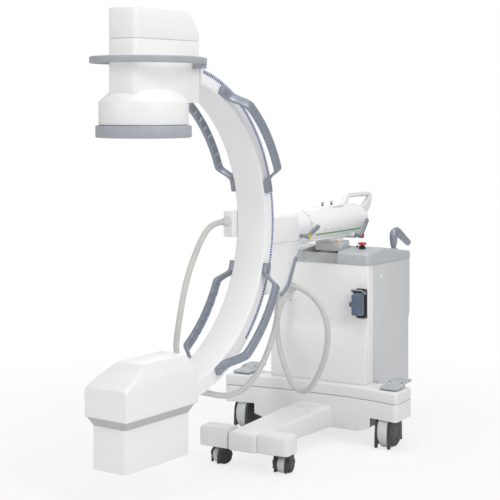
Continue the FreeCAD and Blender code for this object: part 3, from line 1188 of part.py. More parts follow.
# Casters: drawn at the swivel axis, wheel rolling along X
def make_fork(wheel_r, width, cheek_thick, top_z, wide_top, trail, stem_top):
    """Hooded fork: two cheeks, a crown, a stem and two prongs that push cables aside."""
    inner = width / 2 + WHEEL_SIDE_GAP
    outer = inner + cheek_thick
    reach, wide = wheel_r * HOOD_REACH, wheel_r * HOOD_WIDE_REACH
    parts = []
    for side in (-1, 1):
        y0, y1 = sorted((side * inner, side * outer))
        low = wheel_r * 0.45
        step = wide_top + HOOD_STEP
        outline = [(-reach, low), (reach, low), (wide, wheel_r), (wide, wide_top), (reach, step), (reach, top_z),
                   (-reach, top_z), (-reach, step), (-wide, wide_top), (-wide, wheel_r)]
        cheek = plate_xz([(x - trail, z) for x, z in outline], y0, y1)
        prong = [(wheel_r * 0.78, PRONG_CLEARANCE), (wheel_r * PRONG_REACH, PRONG_CLEARANCE), (wide, wheel_r * 1.2),
                 (wheel_r * 0.5, wheel_r * 1.2)]
        parts += [cheek, plate_xz([(x - trail, z) for x, z in prong], y0, y1)]
    stem_reach = STEM_R + 3
    crown = block(-trail - reach, max(stem_reach, reach - trail), -outer, outer, wheel_r * 2 + 3, top_z)
    shape = fuse_all(parts + [crown])
    shape = shape.cut(cylinder(AXLE_R + FIT, V(-trail, -outer - 1, wheel_r), SIDEWAYS, 2 * outer + 2))
    stem = cylinder(STEM_R, V(0, 0, top_z - 2), UP, stem_top - top_z + 2)
    return fuse_all([shape, stem])


def make_wheel(wheel_r, width, trail):
    half = width / 2
    tyre = cylinder(wheel_r, V(-trail, -half, wheel_r), SIDEWAYS, width)
    reach = half + WHEEL_SIDE_GAP + AXLE_SEAT
    axle = cylinder(AXLE_R, V(-trail, -reach, wheel_r), SIDEWAYS, 2 * reach)
    return fuse_all([tyre, axle])


def place_caster(shape, x, y, swivel):
    placed = shape.copy()
    placed.rotate(V(0, 0, 0), UP, swivel)
    placed.translate(V(x, y, 0))
    return placed


def beyond(point, run, distance):
    """The point a distance beyond a fitting's face, so a hose leaves in line with it."""
    return tuple(V(*point) + V(*run).normalize() * distance)


def to_base(point):
    """A point of the panned arm's frame in the base frame."""
    return tuple(FreeCAD.Rotation(UP, PAN_REST).multVec(V(*point)))


def make_hoses():
    nose = V(*SUPPLY_NOSE_AT) - V(*SUPPLY_NOSE_ROOT)
    supply = (to_base(LOOP_FITTING_AT), to_base(beyond(LOOP_FITTING_AT, LOOP_FITTING_RUN, 38)))
    supply += SUPPLY_HOSE + (beyond(SUPPLY_NOSE_AT, nose, 56), SUPPLY_NOSE_AT)
    centre = V(C_CENTRE_X, 0, C_CENTRE_Z)
    gland_at, clamp_at = tuple(centre + band_gland_at()), tuple(centre + groove_clamp_at())
    box_face = C_CENTRE_X - JUNCTION_R[0] + GLAND_LENGTH
    tube = ((box_face, GLAND_Y, C_CENTRE_Z),) + TUBE_HOSE + (beyond(gland_at, BAND_GLAND_RUN, -70), gland_at)
    trailing = (LOW_FITTING_AT,) + TRAILING_HOSE + (beyond(clamp_at, GROOVE_CLAMP_RUN, -60), clamp_at)
    for name, points, panned in (("supply_hose", supply, False), ("tube_hose", tube, True),
                                 ("trailing_hose", trailing, True)):
        solid, radii = tube_along(points, HOSE_R)
        keep(name, solid, panned)
        length = sum((V(*b) - V(*a)).Length for a, b in zip(points, points[1:]))
        print(name, "radii", radii, "volume share", round(solid.Volume / (math.pi * HOSE_R ** 2 * length), 3))
        print([tuple(round(value, 1) for value in point) for point in points])


def build_c():
    keep("c_band", on_c(make_band()), True)
    keep("c_scales", on_c(make_scales()), True)
    for name, angles in (("upper_rails", UPPER_RAIL_ANGLES), ("lower_rails", LOWER_RAIL_ANGLES)):
        pair = [make_rail(angles, side) for side in (1, -1)]
        keep(name, on_c(Part.makeCompound(pair)), True)
    keep("junction_box", on_c(make_junction_box()), True)


def build_detector():
    shift = V(C_CENTRE_X, 0, 0)
    for name, shape in (("detector_ring", make_ii_ring()), ("detector_window", make_ii_window()),
                        ("detector_housing", make_ii_housing()), ("detector_top_cover", make_ii_top()),
                        ("detector_guard_rail", make_guard_ring())):
        shape.translate(shift)
        keep(name, shape, True)


def build_tube():
    shift = V(C_CENTRE_X, 0, 0)
    for name, shape in (("tube_case", make_tube_box()), ("tube_collar", make_tube_band()),
                        ("tube_hood", make_tube_hood())):
        shape.translate(shift)
        keep(name, shape, True)


def build_arm():
    keep("arm_sleeve", make_sleeve(), True)
    keep("turntable", make_saddle(), True)
    keep("arm_scale", make_sleeve_scale(), True)
    keep("loop_handle", make_loop_handle(), True)
    for name, x in zip(("front_knob", "rear_knob"), reversed(KNOB_X)):
        keep(name, make_knob(x), True)
    keep("pan_lock_lever", make_lever(REAR_LEVER_X, REAR_LEVER_Z, REAR_LEVER_LENGTH, REAR_LEVER_LEAN, ARM_R - 22), True)
    keep("arm_tube", make_arm_tube(), True)
    keep("roll_head", make_roll_head(), True)
    keep("roll_lock_lever", make_lever(FRONT_LEVER_X, FRONT_LEVER_Z, FRONT_LEVER_LENGTH, FRONT_LEVER_LEAN, 40.0), True)
    keep("carriage", make_carriage(), True)
    keep("brake_bar", make_brake_bar(), True)
    for name, angle in zip(("upper_roller", "lower_roller"), ROLLER_ANGLES):
        keep(name, make_roller(angle), True)


def build_column():
    keep("column_inner", make_column_inner())
    keep("column_head", make_column_head())
    keep("column_outer", make_column_outer())


def build_cabinet():
    keep("front_cover", make_front_cover())
    panel = make_side_panel()
    keep("side_panels", Part.makeCompound([panel, mirrored(panel)]))
    keep("rear_cover", make_rear_cover())
    keep("cabinet_lid", make_lid())
    keep("column_plate", make_column_plate())
    keep("cover_screws", make_cover_screws())
    keep("connector_base", make_connector_base())
    keep("connector_hood", make_connector_hood())
    keep("connector_latch", make_latch())
    keep("supply_gland", make_supply_gland())
    keep("stop_button_base", make_estop_base())
    keep("stop_button", make_estop_button())
    keep("steering_handle", make_steering_handle())


def build_base():
    keep("base_skirt", make_base_skirt())
    keep("base_top", make_base_top())
    keep("leg", make_leg())
    keep("leg_caps", Part.makeCompound([make_leg_cap(1), make_leg_cap(-1)]))
    for side, name in ((1, "left"), (-1, "right")):
        keep(name + "_pedal", make_pedal(side))
        ceiling = END_BOTTOM_Z + REAR_WELL_HEIGHT
        fork = make_fork(REAR_WHEEL_R, REAR_WHEEL_WIDTH, REAR_CHEEK, ceiling - RUNNING_GAP,
                         END_BOTTOM_Z - HOOD_STEP - SWING_CLEARANCE, 0.0, ceiling + STEM_LENGTH)
        keep(name + "_rear_fork", place_caster(fork, REAR_CASTER_X, side * REAR_CASTER_Y, 0))
        wheel = make_wheel(REAR_WHEEL_R, REAR_WHEEL_WIDTH, 0.0)
        keep(name + "_rear_wheel", place_caster(wheel, REAR_CASTER_X, side * REAR_CASTER_Y, 0))
        swivel = FRONT_SWIVELS[0] if side < 0 else FRONT_SWIVELS[1]
        fork = make_fork(FRONT_WHEEL_R, FRONT_WHEEL_WIDTH, FRONT_CHEEK, CAP_BOTTOM_Z - RUNNING_GAP,
                         CAP_BOTTOM_Z - HOOD_STEP - SWING_CLEARANCE, FRONT_TRAIL, CAP_BOTTOM_Z + STEM_LENGTH)
        keep(name + "_front_fork", place_caster(fork, FRONT_CASTER_X, side * FRONT_CASTER_Y, swivel))
        wheel = make_wheel(FRONT_WHEEL_R, FRONT_WHEEL_WIDTH, FRONT_TRAIL)
        keep(name + "_front_wheel", place_caster(wheel, FRONT_CASTER_X, side * FRONT_CASTER_Y, swivel))


def main():
    os.makedirs("parts", exist_ok=True)
    build_c()
    build_detector()
    build_tube()
    build_arm()
    build_column()
    build_cabinet()
    build_base()
    make_hoses()
    for name, shape in nodes.items():
        shape.exportStep("parts/" + name + ".step")
    whole = Part.makeCompound(list(nodes.values())).BoundBox
    print("bounds", [round(v, 1) for v in (whole.XMin, whole.XMax, whole.YMin, whole.YMax, whole.ZMin, whole.ZMax)])
    print("nodes", len(nodes))


main()
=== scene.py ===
import bpy
import bmesh
from math import radians, pi, sin, cos, atan2
from mathutils import Matrix, Vector


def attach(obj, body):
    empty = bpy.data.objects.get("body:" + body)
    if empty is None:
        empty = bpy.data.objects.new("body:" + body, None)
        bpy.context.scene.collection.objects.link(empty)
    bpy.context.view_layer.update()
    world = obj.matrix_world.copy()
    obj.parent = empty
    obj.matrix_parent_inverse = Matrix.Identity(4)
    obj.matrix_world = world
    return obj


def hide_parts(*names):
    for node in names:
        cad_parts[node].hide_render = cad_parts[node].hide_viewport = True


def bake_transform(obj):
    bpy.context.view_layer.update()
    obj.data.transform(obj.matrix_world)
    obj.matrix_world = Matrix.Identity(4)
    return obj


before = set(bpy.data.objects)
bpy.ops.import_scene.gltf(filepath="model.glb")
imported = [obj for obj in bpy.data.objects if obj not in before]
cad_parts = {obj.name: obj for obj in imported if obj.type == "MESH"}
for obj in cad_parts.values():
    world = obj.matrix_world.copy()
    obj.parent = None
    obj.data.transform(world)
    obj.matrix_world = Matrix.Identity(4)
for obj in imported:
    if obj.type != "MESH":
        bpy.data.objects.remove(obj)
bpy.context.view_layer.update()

scene = bpy.context.scene
scene.view_settings.view_transform = 'Standard'

# Frames that the pieces are drawn in, in metres: the cabinet's has the column's axis at its origin,
# the arm's is the same but panned to its rest, and the C's has its origin at the C's centre
cabinetFrame = Matrix.Translation((-0.5569, 0, 0))
armFrame = cabinetFrame @ Matrix.Rotation(radians(-5.5), 4, 'Z')
cFrame = armFrame @ Matrix.Translation((1.2, 0, 0.977))


# Camera and studio
print("camera and studio")
view = {"place": (4.829, 2.669, 1.470), "look": (-0.8668, -0.4986, -0.0026), "lens": 96.35,
        "shiftX": 0.0036, "shiftY": -0.2894}
camera = bpy.data.objects.new("camera", bpy.data.cameras.new("camera"))
scene.collection.objects.link(camera)
camera.location = view["place"]
camera.rotation_euler = Vector(view["look"]).to_track_quat('-Z', 'Y').to_euler()
camera.data.lens = view["lens"]
camera.data.sensor_width = 36
camera.data.shift_x = view["shiftX"]
camera.data.shift_y = view["shiftY"]
camera.data.clip_end = 60
scene.camera = camera


def colour(hexText):
    parts = [int(hexText[i:i + 2], 16) / 255 for i in (1, 3, 5)]
    return tuple(p / 12.92 if p <= 0.04045 else ((p + 0.055) / 1.055) ** 2.4 for p in parts) + (1.0,)


def addNode(owner, kind, inputs=None, links=None, **settings):
    node = owner.node_tree.nodes.new("ShaderNode" + kind)
    for name, value in settings.items():
        setattr(node, name, value)
    for name, value in (inputs or {}).items():
        node.inputs[name].default_value = value
    for name, (source, output) in (links or {}).items():
        owner.node_tree.links.new(source.outputs[output], node.inputs[name])
    return node


studio = {
    "key": {"place": (2.2, 3.8, 3.2), "size": 2.4, "power": 74},
    "fill": {"place": (3.8, -1.4, 2.4), "size": 3.0, "power": 28},
    "top": {"place": (0.2, 0.4, 4.4), "size": 3.0, "power": 60},
    "rim": {"place": (-3.6, -2.4, 2.6), "size": 2.4, "power": 24},
    "aim": (-0.1, 0.0, 0.9), "world": 0.50, "floorGlow": 0.74,
}
for name in ("key", "fill", "top", "rim"):
    lamp = bpy.data.lights.new(name, 'AREA')
    lamp.shape = 'DISK'
    lamp.size = studio[name]["size"]
    lamp.energy = studio[name]["power"]
    holder = bpy.data.objects.new(name, lamp)
    scene.collection.objects.link(holder)
    holder.location = studio[name]["place"]
    holder.rotation_euler = (Vector(studio["aim"]) - holder.location).to_track_quat('-Z', 'Y').to_euler()

world = bpy.data.worlds.new("studio")
scene.world = world
world.use_nodes = True
world.node_tree.nodes.clear()
paths = addNode(world, "LightPath")
seen = addNode(world, "Math", links={0: (paths, "Is Camera Ray"), 1: (paths, "Is Transmission Ray")},
               operation='MAXIMUM')
plainLight = addNode(world, "Background", {"Color": (1, 1, 1, 1), "Strength": studio["world"]})
whiteRoom = addNode(world, "Background", {"Color": (1, 1, 1, 1), "Strength": 1.0})
choice = addNode(world, "MixShader", links={0: (seen, 0), 1: (plainLight, 0), 2: (whiteRoom, 0)})
addNode(world, "OutputWorld", links={"Surface": (choice, 0)})

bpy.ops.object.select_all(action='DESELECT')
bpy.ops.mesh.primitive_plane_add(size=60, location=(0, 0, 0))
floor = bpy.context.object
floor.name = "studio_floor"
floorPaint = bpy.data.materials.new("seamless studio floor")
floorPaint.use_nodes = True
floorPaint.node_tree.nodes.clear()
place = addNode(floorPaint, "TexCoord")
away = addNode(floorPaint, "VectorMath", links={0: (place, "Object")}, operation='LENGTH')
fade = addNode(floorPaint, "MapRange", {1: 0.9, 2: 2.4, 3: studio["floorGlow"], 4: 1.0}, {0: (away, "Value")})
paths = addNode(floorPaint, "LightPath")
glow = addNode(floorPaint, "Math", links={0: (paths, "Is Camera Ray"), 1: (fade, 0)}, operation='MULTIPLY')
matt = addNode(floorPaint, "BsdfDiffuse", {"Color": (0.86, 0.86, 0.86, 1)})
white = addNode(floorPaint, "Emission", {"Color": (1, 1, 1, 1), "Strength": 1.0})
both = addNode(floorPaint, "MixShader", links={0: (glow, 0), 1: (matt, 0), 2: (white, 0)})
addNode(floorPaint, "OutputMaterial", links={"Surface": (both, 0)})
floor.data.materials.append(floorPaint)


# Finishes
print("finishes")


def startFinish(name):
    material = bpy.data.materials.new(name)
    material.use_nodes = True
    material.node_tree.nodes.clear()
    return material, addNode(material, "TexCoord")


def endFinish(material, shader):
    addNode(material, "OutputMaterial", links={"Surface": (shader, 0)})
    return material


def sprayedPaint(name, paint, dust, gloss=0.36, peel=0.0025, depth=0.00012, clear=0.0, metal=0.0):
    material, place = startFinish(name)
    # orange peel of the spray gun, and a slow drift of tone over each panel
    orangePeel = addNode(material, "TexNoise", {"Scale": 1 / peel, "Detail": 2.0},
                         {"Vector": (place, "Object")})
    bump = addNode(material, "Bump", {"Strength": 0.4, "Distance": depth}, {"Height": (orangePeel, "Fac")})
    drift = addNode(material, "TexNoise", {"Scale": 8.0, "Detail": 5.0, "Roughness": 0.6},
                    {"Vector": (place, "Object")})
    tone = addNode(material, "MapRange", {1: 0.4, 2: 0.75, 3: 0.0, 4: 0.35}, {0: (drift, "Fac")})
    shade = addNode(material, "Mix", {6: colour(paint), 7: colour(dust)}, {0: (tone, 0)}, data_type='RGBA')
    wiped = addNode(material, "TexNoise", {"Scale": 26.0, "Detail": 5.0}, {"Vector": (place, "Object")})
    sheen = addNode(material, "MapRange", {1: 0.3, 2: 0.75, 3: gloss - 0.06, 4: gloss + 0.08},
                    {0: (wiped, "Fac")})
    shader = addNode(material, "BsdfPrincipled",
                     {"IOR": 1.5, "Coat Weight": clear, "Coat Roughness": 0.14, "Metallic": metal},
                     {"Base Color": (shade, 2), "Roughness": (sheen, 0), "Normal": (bump, 0)})
    return endFinish(material, shader)


def mouldedPlastic(name, plastic, worn, gloss=0.5, grain=0.0016, depth=0.0002):
    material, place = startFinish(name)
    # spark-eroded mould grain: small cells, with a faint rubbed tone on top
    cells = addNode(material, "TexVoronoi", {"Scale": 1 / grain}, {"Vector": (place, "Object")})
    bump = addNode(material, "Bump", {"Strength": 0.35, "Distance": depth}, {"Height": (cells, "Distance")})
    rubbed = addNode(material, "TexNoise", {"Scale": 34.0, "Detail": 6.0, "Roughness": 0.65},
                     {"Vector": (place, "Object")})
    tone = addNode(material, "MapRange", {1: 0.45, 2: 0.75, 3: 0.0, 4: 0.5}, {0: (rubbed, "Fac")})
    shade = addNode(material, "Mix", {6: colour(plastic), 7: colour(worn)}, {0: (tone, 0)}, data_type='RGBA')
    sheen = addNode(material, "MapRange", {1: 0.35, 2: 0.7, 3: gloss - 0.08, 4: gloss + 0.1},
                    {0: (rubbed, "Fac")})
    shader = addNode(material, "BsdfPrincipled", {"IOR": 1.49},
                     {"Base Color": (shade, 2), "Roughness": (sheen, 0), "Normal": (bump, 0)})
    return endFinish(material, shader)


def brushedSteel(name, metal, gloss=0.3, stretch=(6, 900, 900)):
    material, place = startFinish(name)
    # long hairlines from the belt, drawn about 1 mm apart
    along = addNode(material, "Mapping", {"Scale": stretch}, {"Vector": (place, "Object")})
    hairs = addNode(material, "TexNoise", {"Scale": 1.0, "Detail": 3.0}, {"Vector": (along, 0)})
    bump = addNode(material, "Bump", {"Strength": 0.25, "Distance": 0.0001}, {"Height": (hairs, "Fac")})
    sheen = addNode(material, "MapRange", {1: 0.3, 2: 0.7, 3: gloss - 0.08, 4: gloss + 0.1},
                    {0: (hairs, "Fac")})
    shader = addNode(material, "BsdfPrincipled", {"Metallic": 1.0, "Base Color": colour(metal)},
                     {"Roughness": (sheen, 0), "Normal": (bump, 0)})
    return endFinish(material, shader)


def ribbedHose(name, jacket, shadow):
    material, place = startFinish(name)
    # ribbed jacket: one soft ring each 7 mm, read along the hose's own UV
    along = addNode(material, "SeparateXYZ", links={0: (place, "UV")})
    turns = addNode(material, "Math", {1: 2 * pi / 0.007}, {0: (along, "Y")}, operation='MULTIPLY')
    wave = addNode(material, "Math", links={0: (turns, 0)}, operation='SINE')
    bump = addNode(material, "Bump", {"Strength": 0.25, "Distance": 0.0006}, {"Height": (wave, 0)})
    rubbed = addNode(material, "TexNoise", {"Scale": 14.0, "Detail": 6.0}, {"Vector": (place, "Object")})
    tone = addNode(material, "MapRange", {1: 0.4, 2: 0.7, 3: 0.0, 4: 0.6}, {0: (rubbed, "Fac")})
    shade = addNode(material, "Mix", {6: colour(jacket), 7: colour(shadow)}, {0: (tone, 0)}, data_type='RGBA')
    shader = addNode(material, "BsdfPrincipled", {"IOR": 1.5, "Roughness": 0.42},
                     {"Base Color": (shade, 2), "Normal": (bump, 0)})
    return endFinish(material, shader)


def printedScale(name, ground, mark, centre, pitch, share):
    material, place = startFinish(name)
    # degree marks printed round the C: white gaps in a dark line, counted by the angle about the C's axis
    turned = addNode(material, "Mapping", {"Location": centre, "Rotation": (0, 0, radians(5.5))},
                     {"Vector": (place, "Object")}, vector_type='POINT')
    parts = addNode(material, "SeparateXYZ", links={0: (turned, 0)})
    angle = addNode(material, "Math", links={0: (parts, "Z"), 1: (parts, "X")}, operation='ARCTAN2')
    steps = addNode(material, "Math", {1: 1 / radians(pitch)}, {0: (angle, 0)}, operation='MULTIPLY')
    within = addNode(material, "Math", links={0: (steps, 0)}, operation='FRACT')
    gap = addNode(material, "Math", {1: share}, {0: (within, 0)}, operation='GREATER_THAN')
    worn = addNode(material, "TexNoise", {"Scale": 60.0, "Detail": 3.0}, {"Vector": (place, "Object")})
    faded = addNode(material, "MapRange", {1: 0.5, 2: 0.8, 3: 0.0, 4: 0.3}, {0: (worn, "Fac")})
    ink = addNode(material, "Mix", {6: colour(mark), 7: colour(ground)}, {0: (faded, 0)}, data_type='RGBA')
    shade = addNode(material, "Mix", {7: colour(ground)}, {0: (gap, 0), 6: (ink, 2)}, data_type='RGBA')
    shader = addNode(material, "BsdfPrincipled", {"IOR": 1.5, "Roughness": 0.35}, {"Base Color": (shade, 2)})
    return endFinish(material, shader)


finishes = {
    "coverWhite": sprayedPaint("two-pack paint on polyurethane covers", "#F3F3F3", "#ECEBEA", 0.34),
    "bandWhite": sprayedPaint("powder coat on the C's aluminium", "#F4F4F5", "#EDEDEF", 0.38, 0.0018, 0.0002),
    "armWhite": sprayedPaint("enamel on the arm's castings", "#F2F2F2", "#EAEAEB", 0.32),
    "cabinetIvory": sprayedPaint("paint on the cabinet's mouldings", "#F2F2F1", "#EAEAE9", 0.4),
    "panelGrey": sprayedPaint("powder coat on the side panels", "#D3D4D6", "#CBCCCF", 0.42, 0.002, 0.0002),
    "lidGrey": mouldedPlastic("grained grey ABS lid", "#BDC1C4", "#C4C8CB", 0.48),
    "baseWhite": sprayedPaint("paint on the base's covers", "#EAEAEA", "#E2E2E1", 0.42),
    "capWhite": sprayedPaint("paint on the caster caps", "#E8E8E8", "#DFDFDF", 0.42),
    "railGrey": sprayedPaint("metallic lacquer on the grab rails", "#9097A3", "#89909C", 0.3, 0.0012, 0.0001,
                             0.4, 0.35),
    "guardGrey": mouldedPlastic("grained grey bumper of the detector", "#A9ACB3", "#9EA1A8", 0.46),
    "glandPale": mouldedPlastic("pale nylon cable glands", "#D8D8D7", "#CDCDCC", 0.45),
    "collarGrey": mouldedPlastic("grey elastomer collar", "#BDBEBF", "#B3B4B5", 0.5),
    "treadGrey": mouldedPlastic("grey polyurethane tread", "#CDCFD1", "#BEC0C2", 0.5, 0.002),
    "casterBlack": mouldedPlastic("glass-filled nylon of the casters", "#3A3B3D", "#48494B", 0.45),
    "blackPlastic": mouldedPlastic("black ABS", "#1C1D1F", "#2A2B2D", 0.45),
    "hoodBlue": mouldedPlastic("blue-grey cast connector hood", "#5D6B80", "#6D7A8D", 0.42),
    "windowBlack": mouldedPlastic("carbon fibre entrance window", "#2B2D30", "#36383B", 0.4, 0.003),
    "stopRed": mouldedPlastic("red mushroom button", "#C4231B", "#D03A2C", 0.32),
    "tipYellow": mouldedPlastic("yellow lever cap", "#D9B32B", "#E2C14C", 0.4),
    "tipRed": mouldedPlastic("red lever cap", "#B23A36", "#BF4C44", 0.4),
    "pedalGrey": mouldedPlastic("grey-green pedal pads", "#B4BABC", "#BFC5C7", 0.5),
    "plateSteel": brushedSteel("belt-brushed steel plate", "#C9CACB", 0.34, (900, 6, 900)),
    "screwSteel": brushedSteel("zinc-plated screws", "#A9ABAE", 0.3, (400, 400, 400)),
    "tubeChrome": brushedSteel("ground and chromed arm tube", "#D2D3D5", 0.2, (900, 6, 6)),
    "hoseJacket": ribbedHose("pale PVC hose jacket", "#CFCFCC", "#C2C2BF"),
    "bandScale": printedScale("blue degree scale", "#E8E9EE", "#2B3F8F", (-0.64566, 0.05338, -0.977), 1.0,
                              0.62),
    "armScale": sprayedPaint("green printed strip", "#6FB36A", "#5FA45B", 0.4),
    "brassRing": brushedSteel("brass index ring", "#C9B07A", 0.3, (400, 400, 400)),
    "headPaint": sprayedPaint("hammered enamel on the column head", "#DADBDC", "#D0D1D3", 0.36, 0.0018,
                              0.0002),
}


# Modelling by hand: one piece at a time, in edit mode, with edges and faces picked by their place
def clearSelection():
    if bpy.context.mode != 'OBJECT':
        bpy.ops.object.mode_set(mode='OBJECT')
    bpy.ops.object.select_all(action='DESELECT')


def choose(*pieces):
    # in object mode, with only these pieces selected and the first one active
    clearSelection()
    for piece in pieces:
        piece.select_set(True)
    bpy.context.view_layer.objects.active = pieces[0]


def mirror(piece):
    piece.data.transform(Matrix.Scale(-1, 4, (0, 1, 0)))
    piece.data.flip_normals()


def startFrom(name, primitive, **size):
    clearSelection()
    primitive(**size)
    piece = bpy.context.object
    piece.name = piece.data.name = name
    bpy.ops.object.transform_apply(location=True, rotation=True, scale=True)
    bpy.context.tool_settings.mesh_select_mode = (True, False, False)
    bpy.ops.object.mode_set(mode='EDIT')
    return piece


def block(name, low, high, along=None, corner=0.0, steps=4, **closing):
    # a box: the edges along one axis can be rounded, and it is closed when closing settings are given
    low, high = Vector(low), Vector(high)
    piece = startFrom(name, bpy.ops.mesh.primitive_cube_add, size=1, location=(low + high) / 2,
                      scale=high - low)
    if along:
        roundEdges(lambda m, d: abs(d["xyz".index(along)]) > 0.9, corner, steps)
    if closing:
        close(piece, **closing)
    return piece


def drum(name, radius, start, end, sides=64, **closing):
    start, end = Vector(start), Vector(end)
    turn = (end - start).to_track_quat('Z', 'Y').to_euler()
    piece = startFrom(name, bpy.ops.mesh.primitive_cylinder_add, vertices=sides, radius=radius,
                      depth=(end - start).length, location=(start + end) / 2, rotation=turn)
    if closing:
        close(piece, **closing)
    return piece


def outline(name, corners, fill=True):
    # one point, pulled from corner to corner and filled
    corners = [Vector(corner) for corner in corners]
    piece = startFrom(name, bpy.ops.mesh.primitive_plane_add, size=0.001, location=corners[0])
    bpy.ops.mesh.merge(type='CENTER')
    for before, after in zip(corners, corners[1:]):
        bpy.ops.mesh.extrude_region_move(TRANSFORM_OT_translate={"value": after - before})
    bpy.ops.mesh.select_all(action='SELECT')
    if fill:
        bpy.ops.mesh.edge_face_add()
    return piece


def pull(x=0.0, y=0.0, z=0.0):
    bpy.ops.mesh.extrude_region_move(TRANSFORM_OT_translate={"value": (x, y, z)})


def pick(kind, test):
    # faces pass with (centre, normal), edges with (middle, direction), points with their place
    mesh = bmesh.from_edit_mesh(bpy.context.edit_object.data)
    mesh.normal_update()
    bpy.context.tool_settings.mesh_select_mode = (kind == "points", kind == "edges", kind == "faces")
    bpy.ops.mesh.select_all(action='DESELECT')
    count = 0
    for item in {"points": mesh.verts, "edges": mesh.edges, "faces": mesh.faces}[kind]:
        if kind == "faces":
            hit = test(item.calc_center_median(), item.normal)
        elif kind == "edges":
            a, b = item.verts[0].co, item.verts[1].co
            hit = test((a + b) / 2, (b - a).normalized())
        else:
            hit = test(item.co)
        if hit:
            item.select_set(True)
            count += 1
    mesh.select_flush_mode()
    bmesh.update_edit_mesh(bpy.context.edit_object.data)
    return count


def soften(width, segments=4):
    bpy.ops.mesh.bevel(offset=width, segments=segments, profile=0.5, affect='EDGES', clamp_overlap=True)


def roundEdges(test, width, segments=4):
    pick("edges", test)
    soften(width, segments)


def cutAway(point, normal, whole=True):
    # what lies past the plane goes, and the cut is filled
    if whole:
        bpy.ops.mesh.select_all(action='SELECT')
    bpy.ops.mesh.bisect(plane_co=point, plane_no=normal, clear_outer=True, use_fill=True)


def close(piece, edge=0.0015, segments=2, angle=35, limit=30):
    # doubles merged, normals out, the last small edges rounded and the faces smoothed
    bpy.ops.mesh.select_all(action='SELECT')
    bpy.ops.mesh.remove_doubles(threshold=0.00005)
    bpy.ops.mesh.normals_make_consistent(inside=False)
    bpy.ops.object.mode_set(mode='OBJECT')
    if edge:
        rounding = piece.modifiers.new("edges", 'BEVEL')
        rounding.width, rounding.segments = edge, segments
        rounding.limit_method, rounding.angle_limit = 'ANGLE', radians(limit)
        bpy.ops.object.modifier_apply(modifier="edges")
    bpy.ops.object.shade_smooth_by_angle(angle=radians(angle))
    return piece


def fit(piece, place, body, finish, nodes=()):
    # the piece goes to its place, rides on its body and stands for its nodes
    piece.matrix_world = place
    choose(piece)
    bpy.ops.object.transform_apply(location=True, rotation=True, scale=True)
    piece.data.materials.clear()
    piece.data.materials.append(finishes[finish])
    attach(piece, body)
    if nodes:
        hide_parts(*nodes)
    return piece


def joined(name, pieces):
    choose(*pieces)
    bpy.ops.object.join()
    pieces[0].name = pieces[0].data.name = name
    return pieces[0]


def carve(piece, tool):
    choose(piece)
    cut = piece.modifiers.new("cut", 'BOOLEAN')
    cut.operation, cut.object, cut.solver = 'DIFFERENCE', tool, 'EXACT'
    bpy.ops.object.modifier_apply(modifier="cut")
    bpy.data.objects.remove(tool)
    return piece


# Hoses: each line is one smooth spline along the route's own points in mm, drawn in its frame
print("hoses")
hoses = {
    "radius": 0.012, "sides": 20,
    "supply": [(436.2, 2, 704), (404.9, 22.8, 698.5), (376, 86, 668), (352, 144, 590), (336, 156, 490),
               (321, 130, 378), (299, 80, 290), (283, 36, 236), (272, -4, 220), (257, -52, 232),
               (243, -84, 268), (225, -128, 342), (203, -166, 440), (182, -174, 530),
               (168.9, -160.4, 577.7), (136, -147, 621)],
    "tube": [(685, -95, 977), (749, -95, 977), (812, -95, 942), (877, -95, 858), (928, -95, 768),
             (961, -95, 670), (980, -102, 560), (982.5, -108, 491.9), (962, -108, 425)],
    "trailing": [(494, 50, 656), (494, 50, 596), (501, 36, 520), (545, 25, 420), (612, 20, 346),
                 (704, 20, 303), (806, 20, 297), (890, 20, 316), (961.3, 20, 339.7), (1020, 20, 352)],
}


def hoseLine(name, route, place):
    curve = bpy.data.curves.new(name + "_line", 'CURVE')
    curve.dimensions = '3D'
    curve.resolution_u = 24
    spline = curve.splines.new('NURBS')
    spline.points.add(len(route) - 1)
    for point, corner in zip(spline.points, route):
        point.co = (*(place @ (Vector(corner) / 1000)), 1)
    spline.order_u = 3
    spline.use_endpoint_u = True
    holder = bpy.data.objects.new(name + "_line", curve)
    scene.collection.objects.link(holder)
    bpy.context.view_layer.update()
    mesh = bpy.data.meshes.new_from_object(holder.evaluated_get(bpy.context.evaluated_depsgraph_get()))
    line = [v.co.copy() for v in mesh.vertices]
    bpy.data.objects.remove(holder)
    bpy.data.meshes.remove(mesh)
    return line


def lineLength(line):
    return sum((b - a).length for a, b in zip(line, line[1:]))


def hoseSkin(name, line, radius, sides, ends=(True, True), across=None, begin=0.0):
    # rings carried along the line without twisting, with a UV that runs in metres along the hose
    mesh = bmesh.new()
    layer = mesh.loops.layers.uv.new("along")
    rings, runs = [], [begin]
    ahead = (line[1] - line[0]).normalized()
    side = across or ahead.orthogonal().normalized()
    for i, here in enumerate(line):
        nextWay = (line[min(i + 1, len(line) - 1)] - line[max(i - 1, 0)]).normalized()
        side = (side - nextWay * side.dot(nextWay)).normalized()
        up = nextWay.cross(side)
        rings.append([mesh.verts.new(here + radius * (side * cos(2 * pi * k / sides)
                                                      + up * sin(2 * pi * k / sides)))
                      for k in range(sides)])
        if i:
            runs.append(runs[-1] + (here - line[i - 1]).length)
    for i in range(len(line) - 1):
        for k in range(sides):
            j = (k + 1) % sides
            face = mesh.faces.new((rings[i][k], rings[i][j], rings[i + 1][j], rings[i + 1][k]))
            face.smooth = True
            for loop, (u, v) in zip(face.loops,
                                    ((k, runs[i]), (k + 1, runs[i]), (k + 1, runs[i + 1]), (k, runs[i + 1]))):
                loop[layer].uv = (u / sides, v)
    if ends[0]:
        mesh.faces.new(list(reversed(rings[0])))
    if ends[1]:
        mesh.faces.new(rings[-1])
    data = bpy.data.meshes.new(name)
    mesh.to_mesh(data)
    mesh.free()
    hose = bpy.data.objects.new(name, data)
    scene.collection.objects.link(hose)
    data.materials.append(finishes["hoseJacket"])
    return hose, side, runs[-1]


